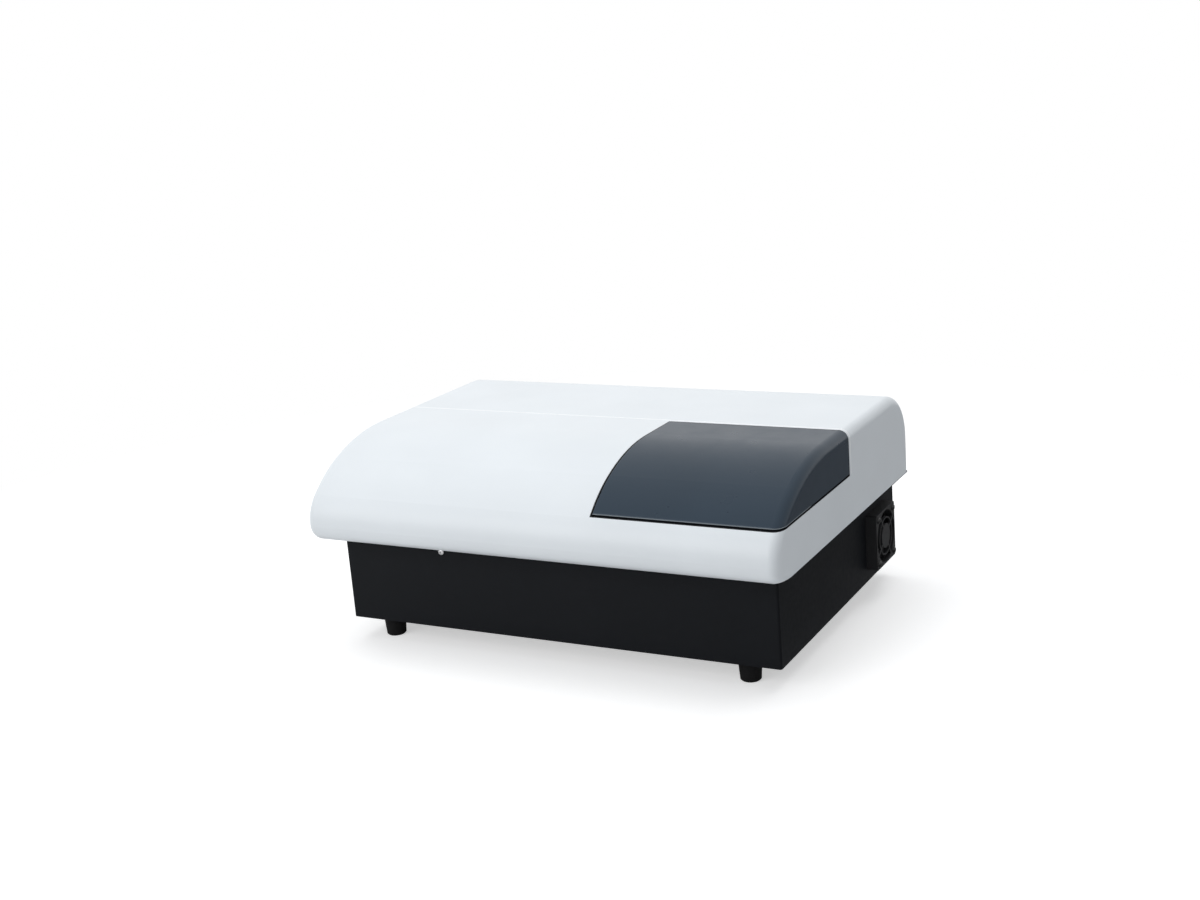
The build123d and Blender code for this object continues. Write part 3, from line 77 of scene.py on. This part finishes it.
# ------------------------------------------------------------------ finishes
class Finish:
    """A procedural material: one Principled shader and the textures that vary it over the surface."""

    def __init__(self, name, colour, roughness, metallic=0.0, **sockets):
        self.material = bpy.data.materials.new(name)
        self.material.use_nodes = True
        self.tree = self.material.node_tree
        self.shader = self.tree.nodes["Principled BSDF"]
        self.shader.inputs["Base Color"].default_value = (*colour, 1)
        self.shader.inputs["Roughness"].default_value = roughness
        self.shader.inputs["Metallic"].default_value = metallic
        for socket, value in sockets.items():
            self.shader.inputs[socket.replace("_", " ")].default_value = value
        self.colour, self.roughness = colour, roughness
        self.place = self.node("ShaderNodeTexCoord").outputs["Object"]

    def node(self, kind, links=None, values=None, **settings):
        made = self.tree.nodes.new(kind)
        for key, value in settings.items():
            setattr(made, key, value)
        for key, value in (values or {}).items():
            made.inputs[key].default_value = value
        for key, output in (links or {}).items():
            self.tree.links.new(output, made.inputs[key])
        return made

    def stretched(self, scale):
        return self.node("ShaderNodeMapping", {"Vector": self.place}, {"Scale": scale}).outputs["Vector"]

    def noise(self, size, detail=2.0, vector=None):
        """Noise whose features are about size metres across."""
        made = self.node("ShaderNodeTexNoise", {"Vector": vector or self.place},
                         {"Scale": 1 / size, "Detail": detail})
        return made.outputs["Fac"]

    def remap(self, value, low, high, to_low=0.0, to_high=1.0):
        made = self.node("ShaderNodeMapRange", {"Value": value},
                         {"From Min": low, "From Max": high, "To Min": to_low, "To Max": to_high})
        return made.outputs["Result"]

    def axis(self, letter):
        split = self.node("ShaderNodeSeparateXYZ", {"Vector": self.place})
        return split.outputs[letter.upper()]

    def math(self, operation, a, b):
        made = self.node("ShaderNodeMath", operation=operation)
        for socket, value in zip(made.inputs, (a, b)):
            if isinstance(value, (int, float)):
                socket.default_value = value
            else:
                self.tree.links.new(value, socket)
        return made.outputs["Value"]

    def mix(self, factor, first, second):
        """Mixes two colours, each a colour output or three numbers."""
        made = self.node("ShaderNodeMix", data_type="RGBA")
        self.tree.links.new(factor, made.inputs["Factor"])
        for socket, value in zip(made.inputs[6:8], (first, second)):
            if isinstance(value, tuple):
                socket.default_value = (*value[:3], 1)
            else:
                self.tree.links.new(value, socket)
        return made.outputs[2]

    def paint(self, output):
        self.tree.links.new(output, self.shader.inputs["Base Color"])
        return self

    def painted(self):
        """The colour output that paint last laid on."""
        return self.shader.inputs["Base Color"].links[0].from_socket

    def drift(self, noise, low=0.0, high=1.0):
        """Spreads a noise, which stays mostly between 0.3 and 0.7, over low to high."""
        return self.remap(noise, 0.3, 0.7, low, high)

    def vary(self, size, share):
        """The colour grows darker and lighter by that share in soft patches of that size."""
        low = tuple(c * (1 - share) for c in self.colour)
        high = tuple(min(1, c * (1 + share)) for c in self.colour)
        return self.paint(self.mix(self.drift(self.noise(size, 3.0)), low, high))

    def gloss(self, rough):
        self.tree.links.new(rough, self.shader.inputs["Roughness"])
        return self

    def polish(self, size, spread):
        """The roughness drifts by spread either way."""
        return self.gloss(self.drift(self.noise(size, 3.0), self.roughness - spread, self.roughness + spread))

    def relief(self, *layers):
        """Bump from layers of (height output, depth in metres)."""
        normal = None
        for height, depth in layers:
            bump = self.node("ShaderNodeBump", {"Height": height}, {"Strength": 1.0, "Distance": depth})
            if normal:
                self.tree.links.new(normal, bump.inputs["Normal"])
            normal = bump.outputs["Normal"]
        self.tree.links.new(normal, self.shader.inputs["Normal"])
        return self


def moulding(name, colour, roughness, grain=0.0006, depth=0.000004, share=0.02, **sockets):
    """Injection-moulded plastic: a fine even grain, and soft patches of colour and gloss."""
    made = Finish(name, colour, roughness, **sockets)
    made.vary(0.09, share).polish(0.02, 0.03)
    return made.relief((made.noise(grain, 3.0), depth), (made.noise(grain * 22, 1.0), depth * 3))


def coated(name, colour, roughness, grain=0.0011, depth=0.00002, **sockets):
    """Powder-coated sheet: a pebbled skin with a little sheen on its bumps."""
    made = Finish(name, colour, roughness, **sockets)
    made.vary(0.05, 0.06).polish(0.004, 0.03)
    return made.relief((made.noise(grain, 2.0), depth), (made.noise(grain * 5, 2.0), depth))


def metal(name, colour, roughness, stretch=(1, 1, 1), depth=0.000004):
    """Bare metal, its grain drawn out along the axes where stretch is small."""
    made = Finish(name, colour, roughness, 1.0)
    lines = made.noise(0.0007, 4.0, made.stretched(stretch))
    made.vary(0.03, 0.06).gloss(made.drift(lines, roughness - 0.07, roughness + 0.09))
    return made.relief((lines, depth))


def rubber(name, colour):
    made = Finish(name, colour, 0.72, Specular_IOR_Level=0.2)
    made.vary(0.006, 0.25).polish(0.003, 0.08)
    return made.relief((made.noise(0.0009, 3.0), 0.00003))


def lens(name, colour):
    """Clear or coloured glass with faint smears."""
    made = Finish(name, colour, 0.04, Transmission_Weight=1.0, IOR=1.5)
    return made.vary(0.01, 0.03).polish(0.004, 0.03)


def circuit(name, board_top):
    """A circuit board: solder mask with tracks and pads; what stands above board_top is black."""
    mask, track, pad, part = (0.008, 0.085, 0.035), (0.014, 0.14, 0.06), (0.75, 0.62, 0.34), (0.014, 0.014, 0.016)
    clear, fade = 0.3 * MM, 0.1 * MM
    made = Finish(name, mask, 0.35)
    wander = made.node("ShaderNodeTexNoise", {"Vector": made.place}, {"Scale": 60.0, "Detail": 0.0})
    bent = made.node("ShaderNodeMix", data_type="VECTOR")
    bent.inputs["Factor"].default_value = 0.06
    made.tree.links.new(made.place, bent.inputs[4])
    made.tree.links.new(wander.outputs["Color"], bent.inputs[5])
    lines = made.node("ShaderNodeTexWave", {"Vector": bent.outputs[1]}, {"Scale": 95.0},
                      bands_direction="DIAGONAL")
    tracks = made.remap(lines.outputs["Fac"], 0.72, 0.78)
    dots = made.node("ShaderNodeTexVoronoi", {"Vector": made.place}, {"Scale": 260.0, "Randomness": 0.35})
    pads = made.remap(dots.outputs["Distance"], 0.2, 0.16)
    above = made.remap(made.axis("z"), board_top + clear, board_top + clear + fade)
    flat = made.mix(pads, made.mix(tracks, mask, track), pad)
    made.paint(made.mix(above, flat, part))
    made.polish(0.01, 0.06)
    return made.relief((made.math("MULTIPLY", tracks, made.math("SUBTRACT", 1.0, above)), 0.00003))


def stepper(name, ends):
    """A stepper motor: black cast ends with a bare laminated stack between the two x places."""
    cast, edge = (0.012, 0.012, 0.014), 0.1 * MM
    made = Finish(name, cast, 0.45)
    x = made.axis("x")
    stack = made.math("MULTIPLY", made.remap(x, ends[0], ends[0] + edge), made.remap(x, ends[1], ends[1] - edge))
    sheets = made.node("ShaderNodeTexWave", {"Vector": made.place}, {"Scale": 500.0}, bands_direction="X")
    steel = made.mix(sheets.outputs["Fac"], (0.16, 0.16, 0.17), (0.42, 0.42, 0.44))
    made.paint(made.mix(stack, cast, steel))
    made.tree.links.new(stack, made.shader.inputs["Metallic"])
    lines = made.math("MULTIPLY", sheets.outputs["Fac"], stack)
    return made.relief((lines, 0.00004), (made.noise(0.0012), 0.00001))


def braided(name, colour):
    made = Finish(name, colour, 0.5)
    weave = made.node("ShaderNodeTexVoronoi", {"Vector": made.place}, {"Scale": 1400.0, "Randomness": 0.2})
    made.vary(0.004, 0.3)
    return made.relief((weave.outputs["Distance"], 0.00015))


white, fan_grey, plate, ink = (0.79, 0.83, 0.86), (0.02, 0.0205, 0.022), (0.6, 0.61, 0.58), (0.012, 0.012, 0.013)
motor_stack = (-176 * MM, -158 * MM)
main_board_top = 29.1 * MM

finishes = {
    "hood_white": moulding("hood_white", white, 0.36, Specular_IOR_Level=0.35),
    "base_black": coated("base_black", (0.0075, 0.0085, 0.0105), 0.5, depth=0.000004, Specular_IOR_Level=0.1),
    "liner_black": moulding("liner_black", (0.014, 0.014, 0.016), 0.55, grain=0.0009, depth=0.00002),
    "pad_rubber": rubber("pad_rubber", (0.016, 0.016, 0.016)),
    "foot_rubber": rubber("foot_rubber", (0.005, 0.005, 0.0055)),
    "bright_steel": metal("bright_steel", (0.56, 0.56, 0.57), 0.25, (0.05, 1, 1)),
    "screw_steel": metal("screw_steel", (0.66, 0.66, 0.67), 0.22),
    "screw_black": coated("screw_black", ink, 0.4, depth=0.000006),
    "deck_aluminium": metal("deck_aluminium", (0.62, 0.63, 0.64), 0.36, (0.03, 1, 1)),
    "block_aluminium": metal("block_aluminium", (0.57, 0.58, 0.6), 0.32, (1, 0.06, 1)),
    "rod_chrome": metal("rod_chrome", (0.72, 0.72, 0.74), 0.13, (0.04, 1, 1), 0.000001),
    "motor_black": stepper("motor_black", motor_stack),
    "carriage_black": coated("carriage_black", (0.02, 0.021, 0.024), 0.38, grain=0.0006, depth=0.000008),
    "nut_brass": metal("nut_brass", (0.64, 0.46, 0.19), 0.3, (0.1, 1, 1)),
    "optics_black": coated("optics_black", ink, 0.55, grain=0.0007, depth=0.00001),
    "lens_glass": lens("lens_glass", (0.92, 0.97, 0.98)),
    "filter_glass": lens("filter_glass", (0.42, 0.36, 0.85)),
    "board_green": circuit("board_green", main_board_top),
    "plated_steel": metal("plated_steel", plate, 0.34),
    "lamp_ceramic": moulding("lamp_ceramic", (0.78, 0.76, 0.7), 0.6, grain=0.001, depth=0.00003),
    "guide_sheath": braided("guide_sheath", (0.02, 0.02, 0.021)),
    "sensor_black": moulding("sensor_black", (0.013, 0.013, 0.014), 0.45),
    "fan_black": moulding("fan_black", (0.016, 0.0165, 0.018), 0.46, grain=0.0008, depth=0.00001, share=0.08),
    "inlet_black": moulding("inlet_black", ink, 0.42, grain=0.0008, depth=0.00001),
    "rocker_black": moulding("rocker_black", (0.01, 0.01, 0.01), 0.2),
    "supply_aluminium": metal("supply_aluminium", (0.6, 0.61, 0.62), 0.38, (1, 0.04, 1)),
}


def middle(node):
    low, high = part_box(node)
    return (low + high) / 2


def hood_paint():
    """The cover's white, with a painted highlight along its crease and painted shade, near black, on the cut
    faces of the gap round the lid and the skin just beside them.
    """
    made = moulding("hood_paint", white, 0.36, depth=0.000002, Specular_IOR_Level=0.35)
    lid_low, lid_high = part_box("lid")
    # how far the painted shade of the gap reaches past the gap on each side
    gap, left_shade_reach, front_shade_reach, rear_shade_reach = 0.8 * MM, 0.9 * MM, 0.3 * MM, 0.1 * MM
    crease_y, crease_half = lid_high.y + 4.6 * MM, 0.7 * MM
    x, y, z = (made.axis(letter) for letter in "xyz")

    def near(value, place, reach):
        return made.math("LESS_THAN", made.math("ABSOLUTE", made.math("SUBTRACT", value, place), 0), reach)

    # painted highlight: a band along the crease is drawn paler, as light catching the groove
    crease = made.math("MULTIPLY", near(y, crease_y, crease_half), made.math("GREATER_THAN", z, lid_low.z))
    made.paint(made.mix(crease, made.painted(), (0.97, 0.98, 0.99)))
    # painted shade: the gap's cut faces and a thin band of skin beside them are drawn near black, where shade
    # falls in the gap
    right = made.math("GREATER_THAN", x, lid_low.x - gap - left_shade_reach)
    front = made.math("LESS_THAN", y, lid_high.y + gap + rear_shade_reach)
    above = made.math("GREATER_THAN", z, lid_low.z - gap - front_shade_reach)
    cut = made.math("MULTIPLY", made.math("MULTIPLY", right, front), above)
    return made.paint(made.mix(cut, made.painted(), (0.012, 0.013, 0.015)))


def lid_paint():
    """The lid's slate plastic, with a painted highlight along its rounded lower front rim."""
    made = moulding("lid_paint", (0.024, 0.038, 0.056), 0.3, depth=0.000001, share=0.05,
                    Specular_IOR_Level=0.3, Specular_Tint=(0.78, 0.9, 1.0, 1.0))
    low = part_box("lid")[0]
    rim_low, rim_high, fade, front_reach = 0.3 * MM, 1.5 * MM, 0.5 * MM, 60 * MM
    height = made.math("SUBTRACT", made.axis("z"), low.z)
    rise, fall = made.remap(height, rim_low, rim_low + fade), made.remap(height, rim_high, rim_high - fade)
    # painted highlight: a paler band along the lower front rim, where the rounded edge would catch light
    rim_highlight = made.math("MULTIPLY", rise, fall)
    front = made.math("LESS_THAN", made.axis("y"), low.y + front_reach)
    return made.paint(made.mix(made.math("MULTIPLY", rim_highlight, front), made.painted(), (0.32, 0.36, 0.39)))


def port_face():
    """The serial port: a bright shell round a black insert."""
    made = metal("port_shell", plate, 0.34)
    rim, half_long, half_tall = 1.2 * MM, 8.3 * MM, 4.0 * MM
    centre = middle("serial_port")
    out_x = made.math("ABSOLUTE", made.math("SUBTRACT", made.axis("x"), centre.x), 0)
    out_z = made.math("ABSOLUTE", made.math("SUBTRACT", made.axis("z"), centre.z), 0)
    insert = made.math("MULTIPLY", made.math("LESS_THAN", out_x, half_long - rim),
                       made.math("LESS_THAN", out_z, half_tall - rim))
    made.tree.links.new(made.math("SUBTRACT", 1.0, insert), made.shader.inputs["Metallic"])
    return made.paint(made.mix(insert, plate, ink))


def fan_face():
    """The fan's frame, with two small marks one above the other on its hub."""
    made = moulding("fan_frame", fan_grey, 0.5, grain=0.0008, depth=0.00001, share=0.08, Specular_IOR_Level=0.35)
    mark_radius, mark_gap = 1.2 * MM, 2.6 * MM
    centre = middle("fan_housing")
    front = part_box("fan_housing")[1].x
    marks = 0.0
    for side in (-1, 1):
        place = (front, centre.y, centre.z + side * mark_gap)
        away = made.node("ShaderNodeVectorMath", {0: made.place}, {1: place}, operation="DISTANCE")
        marks = made.math("MAXIMUM", marks, made.math("LESS_THAN", away.outputs["Value"], mark_radius))
    return made.paint(made.mix(marks, fan_grey, (0.001, 0.001, 0.001)))


detector_thick = 1.6 * MM
own_finish = {"cover": hood_paint(), "lid": lid_paint(), "serial_port": port_face(), "fan_housing": fan_face(),
              "detector_board": circuit("detector_circuit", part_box("optical_head")[1].z + detector_thick)}
slots = {row["node"]: row["material_slot"] for row in frame["record"]["subparts"]}
for name, node in nodes.items():
    finish = own_finish[name] if name in own_finish else finishes[slots[name]]
    node.data.materials.clear()
    node.data.materials.append(finish.material)


# ------------------------------------------------------------------ detail pieces
def finish_piece(name, bm, slot, body, *stands_for, crease=35):
    """Makes a piece of a bmesh, shaded smooth but for edges that turn by more than crease degrees."""
    bmesh.ops.recalc_face_normals(bm, faces=bm.faces)
    for face in bm.faces:
        face.smooth = True
    for edge in bm.edges:
        edge.smooth = len(edge.link_faces) == 2 and edge.calc_face_angle() < math.radians(crease)
    mesh = bpy.data.meshes.new(name)
    bm.to_mesh(mesh)
    bm.free()
    piece = bpy.data.objects.new(name, mesh)
    scene.collection.objects.link(piece)
    mesh.materials.append(finishes[slot].material)
    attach(piece, body)
    if stands_for:
        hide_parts(*stands_for)


def lathe(bm, outline, place=Matrix.Identity(4), steps=32):
    """Turns an outline of (radius, height) points about Z and puts it in place. It closes where a radius is 0."""
    corners = [(math.cos(2 * math.pi * i / steps), math.sin(2 * math.pi * i / steps)) for i in range(steps)]
    rings = []
    for radius, height in outline:
        if radius == 0:
            rings.append([bm.verts.new(place @ Vector((0, 0, height)))])
            continue
        rings.append([bm.verts.new(place @ Vector((radius * x, radius * y, height))) for x, y in corners])
    for low, high in zip(rings, rings[1:]):
        for i in range(steps):
            k = i + 1
            around = (low[i % len(low)], low[k % len(low)], high[k % len(high)], high[i % len(high)])
            bm.faces.new(list(dict.fromkeys(around)))


def islands(node):
    """The points of each separate solid in a CAD node."""
    bm = bmesh.new()
    bm.from_mesh(node.data)
    bmesh.ops.remove_doubles(bm, verts=bm.verts, dist=0.01 * MM)
    left = dict.fromkeys(bm.verts)
    while left:
        group, front = [], [left.popitem()[0]]
        while front:
            vert = front.pop()
            group.append(vert)
            for edge in vert.link_edges:
                other = edge.other_vert(vert)
                if other in left:
                    del left[other]
                    front.append(other)
        yield [vert.co.copy() for vert in group]
    bm.free()


head_radius, head_height, thread_radius = 2.9 * MM, 1.8 * MM, 1.5 * MM


def cross_head():
    """A pan head with a cross recess, standing on z = 0."""
    r, h = head_radius, head_height
    dome = [(0.95, 0.5), (0.79, 0.8), (0.5, 0.96)]
    slot_long, slot_wide, slot_tall = 1.15 * r, 0.2 * r, 1.1 * h
    narrow, slim = 0.45, 0.8
    bm = bmesh.new()
    lathe(bm, [(0, 0), (r, 0), (r, 0.2 * h)] + [(across * r, up * h) for across, up in dome] + [(0, h)])
    head = bpy.data.meshes.new("head")
    bm.to_mesh(head)
    bm.free()
    bm = bmesh.new()
    for turn in (0, math.pi / 2):
        size = Matrix.Diagonal((slot_long, slot_wide, slot_tall, 1))
        place = Matrix.Translation((0, 0, h)) @ Matrix.Rotation(turn, 4, "Z") @ size
        for vert in bmesh.ops.create_cube(bm, size=1, matrix=place)["verts"]:
            if vert.co.z < h:
                vert.co.x *= narrow
                vert.co.y *= narrow if turn else slim
    cutter = bpy.data.meshes.new("cutter")
    bm.to_mesh(cutter)
    bm.free()
    body, tool = (bpy.data.objects.new(mesh.name, mesh) for mesh in (head, cutter))
    for made in (body, tool):
        scene.collection.objects.link(made)
    cut = body.modifiers.new("recess", "BOOLEAN")
    cut.operation, cut.object, cut.use_self = "DIFFERENCE", tool, True
    result = bpy.data.meshes.new_from_object(body.evaluated_get(bpy.context.evaluated_depsgraph_get()))
    for made in (body, tool):
        bpy.data.objects.remove(made)
    return result


def put_screws(node_name, head, slot):
    """Cross-head screws with a cut thread in the place of a node's plain ones."""
    pitch, depth = 0.5 * MM, 0.25 * MM
    bm = bmesh.new()
    for points in islands(nodes[node_name]):
        low, high = (Vector([pick(p[i] for p in points) for i in range(3)]) for pick in (min, max))
        spans, centre = list(high - low), (low + high) / 2
        along = spans.index(max(spans))
        # the points of the head's rim, which are the farthest from the axis
        wide = [p[along] for p in points if (p - centre).length_squared - (p[along] - centre[along]) ** 2
                > (0.98 * head_radius) ** 2]
        out = Vector((0, 0, 0))
        out[along] = 1 if sum(wide) / len(wide) > centre[along] else -1
        seat = centre.copy()
        seat[along] = sum(wide) / len(wide)
        length = max((seat - p).dot(out) for p in points)
        place = Matrix.Translation(seat) @ out.to_track_quat("Z", "Y").to_matrix().to_4x4()
        start = len(bm.verts)
        bm.from_mesh(head)
        bm.verts.ensure_lookup_table()
        bmesh.ops.transform(bm, matrix=place, verts=bm.verts[start:])
        outline = [(0, 0), (thread_radius, 0)]
        for i in range(1, 2 * int(length / pitch)):
            outline.append((thread_radius - depth * (i % 2), -i * pitch / 2))
        lathe(bm, outline + [(0.7 * thread_radius, -length), (0, -length)], place, 12)
    finish_piece(node_name + "_cut", bm, slot, "instrument", node_name)


cut_head = cross_head()
for name in nodes:
    if name.endswith("_screws"):
        put_screws(name, cut_head, slots[name])


def cut_thread():
    """The drive screw: a rod with four trapezoid threads side by side, turned down at its far end."""
    low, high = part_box("lead_screw")
    radius, centre = (high.z - low.z) / 2, middle("lead_screw")
    starts, lead, depth = 4, 8.0 * MM, 0.75 * MM
    crest, flank = 0.18, 7
    journal, journal_length, overlap, chamfer = 2.5 * MM, 9.0 * MM, 1 * MM, 0.3 * MM
    along, around = 0.4 * MM, 48
    end = high.x - journal_length
    count = int((end - low.x) / along)
    bm = bmesh.new()
    rings = []
    for i in range(count + 1):
        x = low.x + (end - low.x) * i / count
        ring = []
        for k in range(around):
            phase = (starts * (k / around + x / lead)) % 1.0
            groove = min(1.0, max(0.0, (abs(phase - 0.5) - crest) * flank))
            reach = radius - depth * (1 - groove)
            angle = 2 * math.pi * k / around
            across, up = reach * math.cos(angle), reach * math.sin(angle)
            ring.append(bm.verts.new((x, centre.y + across, centre.z + up)))
        rings.append(ring)
    for near, far in zip(rings, rings[1:]):
        for k in range(around):
            bm.faces.new((near[k], near[(k + 1) % around], far[(k + 1) % around], far[k]))
    bm.faces.new(rings[0])
    bm.faces.new(rings[-1])
    along_x = Matrix.Translation((0, centre.y, centre.z)) @ Matrix.Rotation(math.pi / 2, 4, "Y")
    start = end - overlap
    tip = [(journal, high.x - chamfer), (journal - chamfer, high.x), (0, high.x)]
    lathe(bm, [(0, start), (journal, start)] + tip, along_x, 24)
    finish_piece("lead_screw_cut", bm, "bright_steel", "drive_screw", "lead_screw")


cut_thread()


def fan_wheel():
    """Seven thin blades, twisted and swept, on a hub with a rounded rim."""
    low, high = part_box("fan_rotor")
    centre, tip = middle("fan_rotor"), (high.y - low.y) / 2
    hub, rim, deep = 11.0 * MM, 1.2 * MM, high.x - low.x
    blades, thick, bow, root = 7, 0.9 * MM, 0.5 * MM, 0.5 * MM
    margin, width = 0.06, 0.88
    radial, chord = 7, 8
    bm = bmesh.new()
    along_x = Matrix.Translation((low.x, centre.y, centre.z)) @ Matrix.Rotation(math.pi / 2, 4, "Y")
    rounding = [(hub, deep - rim), (hub - 0.3 * rim, deep - 0.3 * rim), (hub - rim, deep)]
    lathe(bm, [(0, 0), (hub, 0)] + rounding + [(0, deep)], along_x, 48)
    for b in range(blades):
        grid = []
        for side in (1, -1):
            for i in range(radial + 1):
                out = i / radial
                radius = hub - root + (tip - hub + root) * out
                lean = math.radians(52 - 18 * out)
                sweep = math.radians(16) * out ** 1.5
                row = []
                for j in range(chord + 1):
                    t = j / chord
                    rise = deep * (margin + width * t)
                    belly = bow * math.sin(math.pi * t)
                    skin = side * thick / 2 * math.sin(math.pi * min(max(t, 0.04), 0.96)) ** 0.5
                    swing = ((t - 0.5) * deep * width * math.tan(lean) + belly + skin / math.cos(lean)) / radius
                    angle = 2 * math.pi * b / blades + sweep + swing
                    row.append(bm.verts.new((low.x + rise, centre.y + radius * math.cos(angle),
                                             centre.z + radius * math.sin(angle))))
                grid.append(row)
        front, back = grid[:radial + 1], grid[radial + 1:]
        for sheet in (front, back):
            for i in range(radial):
                for j in range(chord):
                    bm.faces.new((sheet[i][j], sheet[i + 1][j], sheet[i + 1][j + 1], sheet[i][j + 1]))
        for j in (0, chord):
            for i in range(radial):
                bm.faces.new((front[i][j], front[i + 1][j], back[i + 1][j], back[i][j]))
        for i in (0, radial):
            for j in range(chord):
                bm.faces.new((front[i][j], front[i][j + 1], back[i][j + 1], back[i][j]))
    finish_piece("fan_wheel", bm, "fan_black", "fan", "fan_rotor", crease=50)


fan_wheel()


def inlet_pins():
    """Three bright blades over the moulded ones in the mains inlet."""
    low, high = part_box("power_inlet")
    centre, wall = (low + high) / 2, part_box("base_tray")[1].y
    spread, rise = 7.0 * MM, 2.0 * MM
    half_thick, half_tall, length, root = 1.05 * MM, 2.05 * MM, 10.05 * MM, 13.5 * MM
    halfway = wall - root + length / 2
    size = Matrix.Diagonal((2 * half_thick, length, 2 * half_tall, 1))
    bm = bmesh.new()
    for dx, dz in ((0, -rise), (-spread, rise), (spread, rise)):
        place = Matrix.Translation((centre.x + dx, halfway, centre.z + dz))
        made = bmesh.ops.create_cube(bm, size=1, matrix=place @ size)["verts"]
        tips = dict.fromkeys(edge for vert in made for edge in vert.link_edges
                             if all(end.co.y > halfway for end in edge.verts))
        bmesh.ops.bevel(bm, geom=list(tips), offset=0.5 * MM, segments=3, affect="EDGES", profile=0.5)
    finish_piece("inlet_pins", bm, "bright_steel", "instrument")


inlet_pins()


# ------------------------------------------------------------------ stage
def set_world():
    """Plain even light on the object; a white background for the camera, glossy and transmitted rays."""
    light_colour, light_strength = (0.93, 0.96, 1.0, 1), 0.33
    world = bpy.data.worlds.new("world")
    world.use_nodes = True
    scene.world = world
    tree = world.node_tree
    tree.nodes.clear()
    rays = tree.nodes.new("ShaderNodeLightPath")
    seen = rays.outputs["Is Camera Ray"]
    for kind in ("Is Glossy Ray", "Is Transmission Ray"):
        either = tree.nodes.new("ShaderNodeMath")
        either.operation = "MAXIMUM"
        tree.links.new(seen, either.inputs[0])
        tree.links.new(rays.outputs[kind], either.inputs[1])
        seen = either.outputs[0]
    light = tree.nodes.new("ShaderNodeBackground")
    light.inputs["Color"].default_value = light_colour
    light.inputs["Strength"].default_value = light_strength
    plain = tree.nodes.new("ShaderNodeBackground")
    plain.inputs["Color"].default_value = (1, 1, 1, 1)
    plain.inputs["Strength"].default_value = 1.0
    mix = tree.nodes.new("ShaderNodeMixShader")
    out = tree.nodes.new("ShaderNodeOutputWorld")
    tree.links.new(seen, mix.inputs[0])
    tree.links.new(light.outputs[0], mix.inputs[1])
    tree.links.new(plain.outputs[0], mix.inputs[2])
    tree.links.new(mix.outputs[0], out.inputs["Surface"])


def stage_sheet(name, low, high, height):
    """A flat sheet between two (x, y) corners."""
    mesh = bpy.data.meshes.new(name)
    corners = [(low[0], low[1]), (high[0], low[1]), (high[0], high[1]), (low[0], high[1])]
    mesh.from_pydata([(x, y, height) for x, y in corners], [], [(0, 1, 2, 3)])
    made = bpy.data.objects.new(name, mesh)
    scene.collection.objects.link(made)
    return made


def set_floor():
    """A white floor that keeps the object's shadow, and goes over into plain white away from it."""
    reach, centre, shadow_reach, lift = 8.0, (0.02, 0.0, 0), 0.5, 0.5
    floor = stage_sheet("floor", (-reach, -reach), (reach, reach), 0)
    made = Finish("floor_white", (0.8, 0.8, 0.8), 0.9, Specular_IOR_Level=0.1)
    made.vary(0.4, 0.01)
    tree = made.tree
    away = made.node("ShaderNodeVectorMath", {0: made.place}, {1: centre}, operation="DISTANCE")
    far = made.remap(away.outputs["Value"], shadow_reach, shadow_reach * 2)
    rays = tree.nodes.new("ShaderNodeLightPath")
    near_glow = made.node("ShaderNodeEmission", {"Strength": rays.outputs["Is Camera Ray"]},
                          {"Color": (lift, lift, lift, 1)})
    near = tree.nodes.new("ShaderNodeAddShader")
    tree.links.new(made.shader.outputs[0], near.inputs[0])
    tree.links.new(near_glow.outputs[0], near.inputs[1])
    seen = made.math("MAXIMUM", rays.outputs["Is Camera Ray"], rays.outputs["Is Glossy Ray"])
    white_glow = made.node("ShaderNodeEmission", values={"Color": (1, 1, 1, 1), "Strength": 1.0})
    blend = tree.nodes.new("ShaderNodeMixShader")
    tree.links.new(made.math("MULTIPLY", far, seen), blend.inputs[0])
    tree.links.new(near.outputs[0], blend.inputs[1])
    tree.links.new(white_glow.outputs[0], blend.inputs[2])
    tree.links.new(blend.outputs[0], tree.nodes["Material Output"].inputs["Surface"])
    floor.data.materials.append(made.material)


def set_mirrored_shade():
    """A dark sheet on the floor at the right, seen only as the dark that the right-hand faces mirror: painted
    shade in their reflections, standing in for the shaded floor.
    """
    near, far, front, rear, height = 0.225, 1.8, -0.7, 1.8, 1 * MM
    # a sheet of painted shade, seen only in reflections
    flag = stage_sheet("flag", (near, front), (far, rear), height)
    flag.visible_camera = flag.visible_diffuse = flag.visible_shadow = flag.visible_transmission = False
    flag.data.materials.append(coated("mirrored_shade_grey", (0.2, 0.2, 0.2), 0.9, Specular_IOR_Level=0.0).material)


def set_lamp(name, place, target, size, power, mirrored=True):
    """A rectangular soft lamp. One that is not mirrored lights the object without a glare on it."""
    data = bpy.data.lights.new(name, "AREA")
    data.shape = "RECTANGLE"
    data.size, data.size_y = size
    data.energy = power
    lamp = bpy.data.objects.new(name, data)
    scene.collection.objects.link(lamp)
    lamp.location = place
    lamp.visible_glossy = mirrored
    lamp.rotation_mode = "QUATERNION"
    lamp.rotation_quaternion = (Vector(target) - Vector(place)).to_track_quat("-Z", "Y")


set_world()
set_floor()
set_mirrored_shade()
set_lamp("overhead", place=(-0.1, 0.25, 1.7), target=(0, 0, 0.1), size=(2.4, 1.8), power=22, mirrored=False)
set_lamp("front", place=(-0.9, -1.9, 1.1), target=(0, 0, 0.12), size=(1.6, 1.2), power=18)
scene.view_settings.view_transform = "Standard"
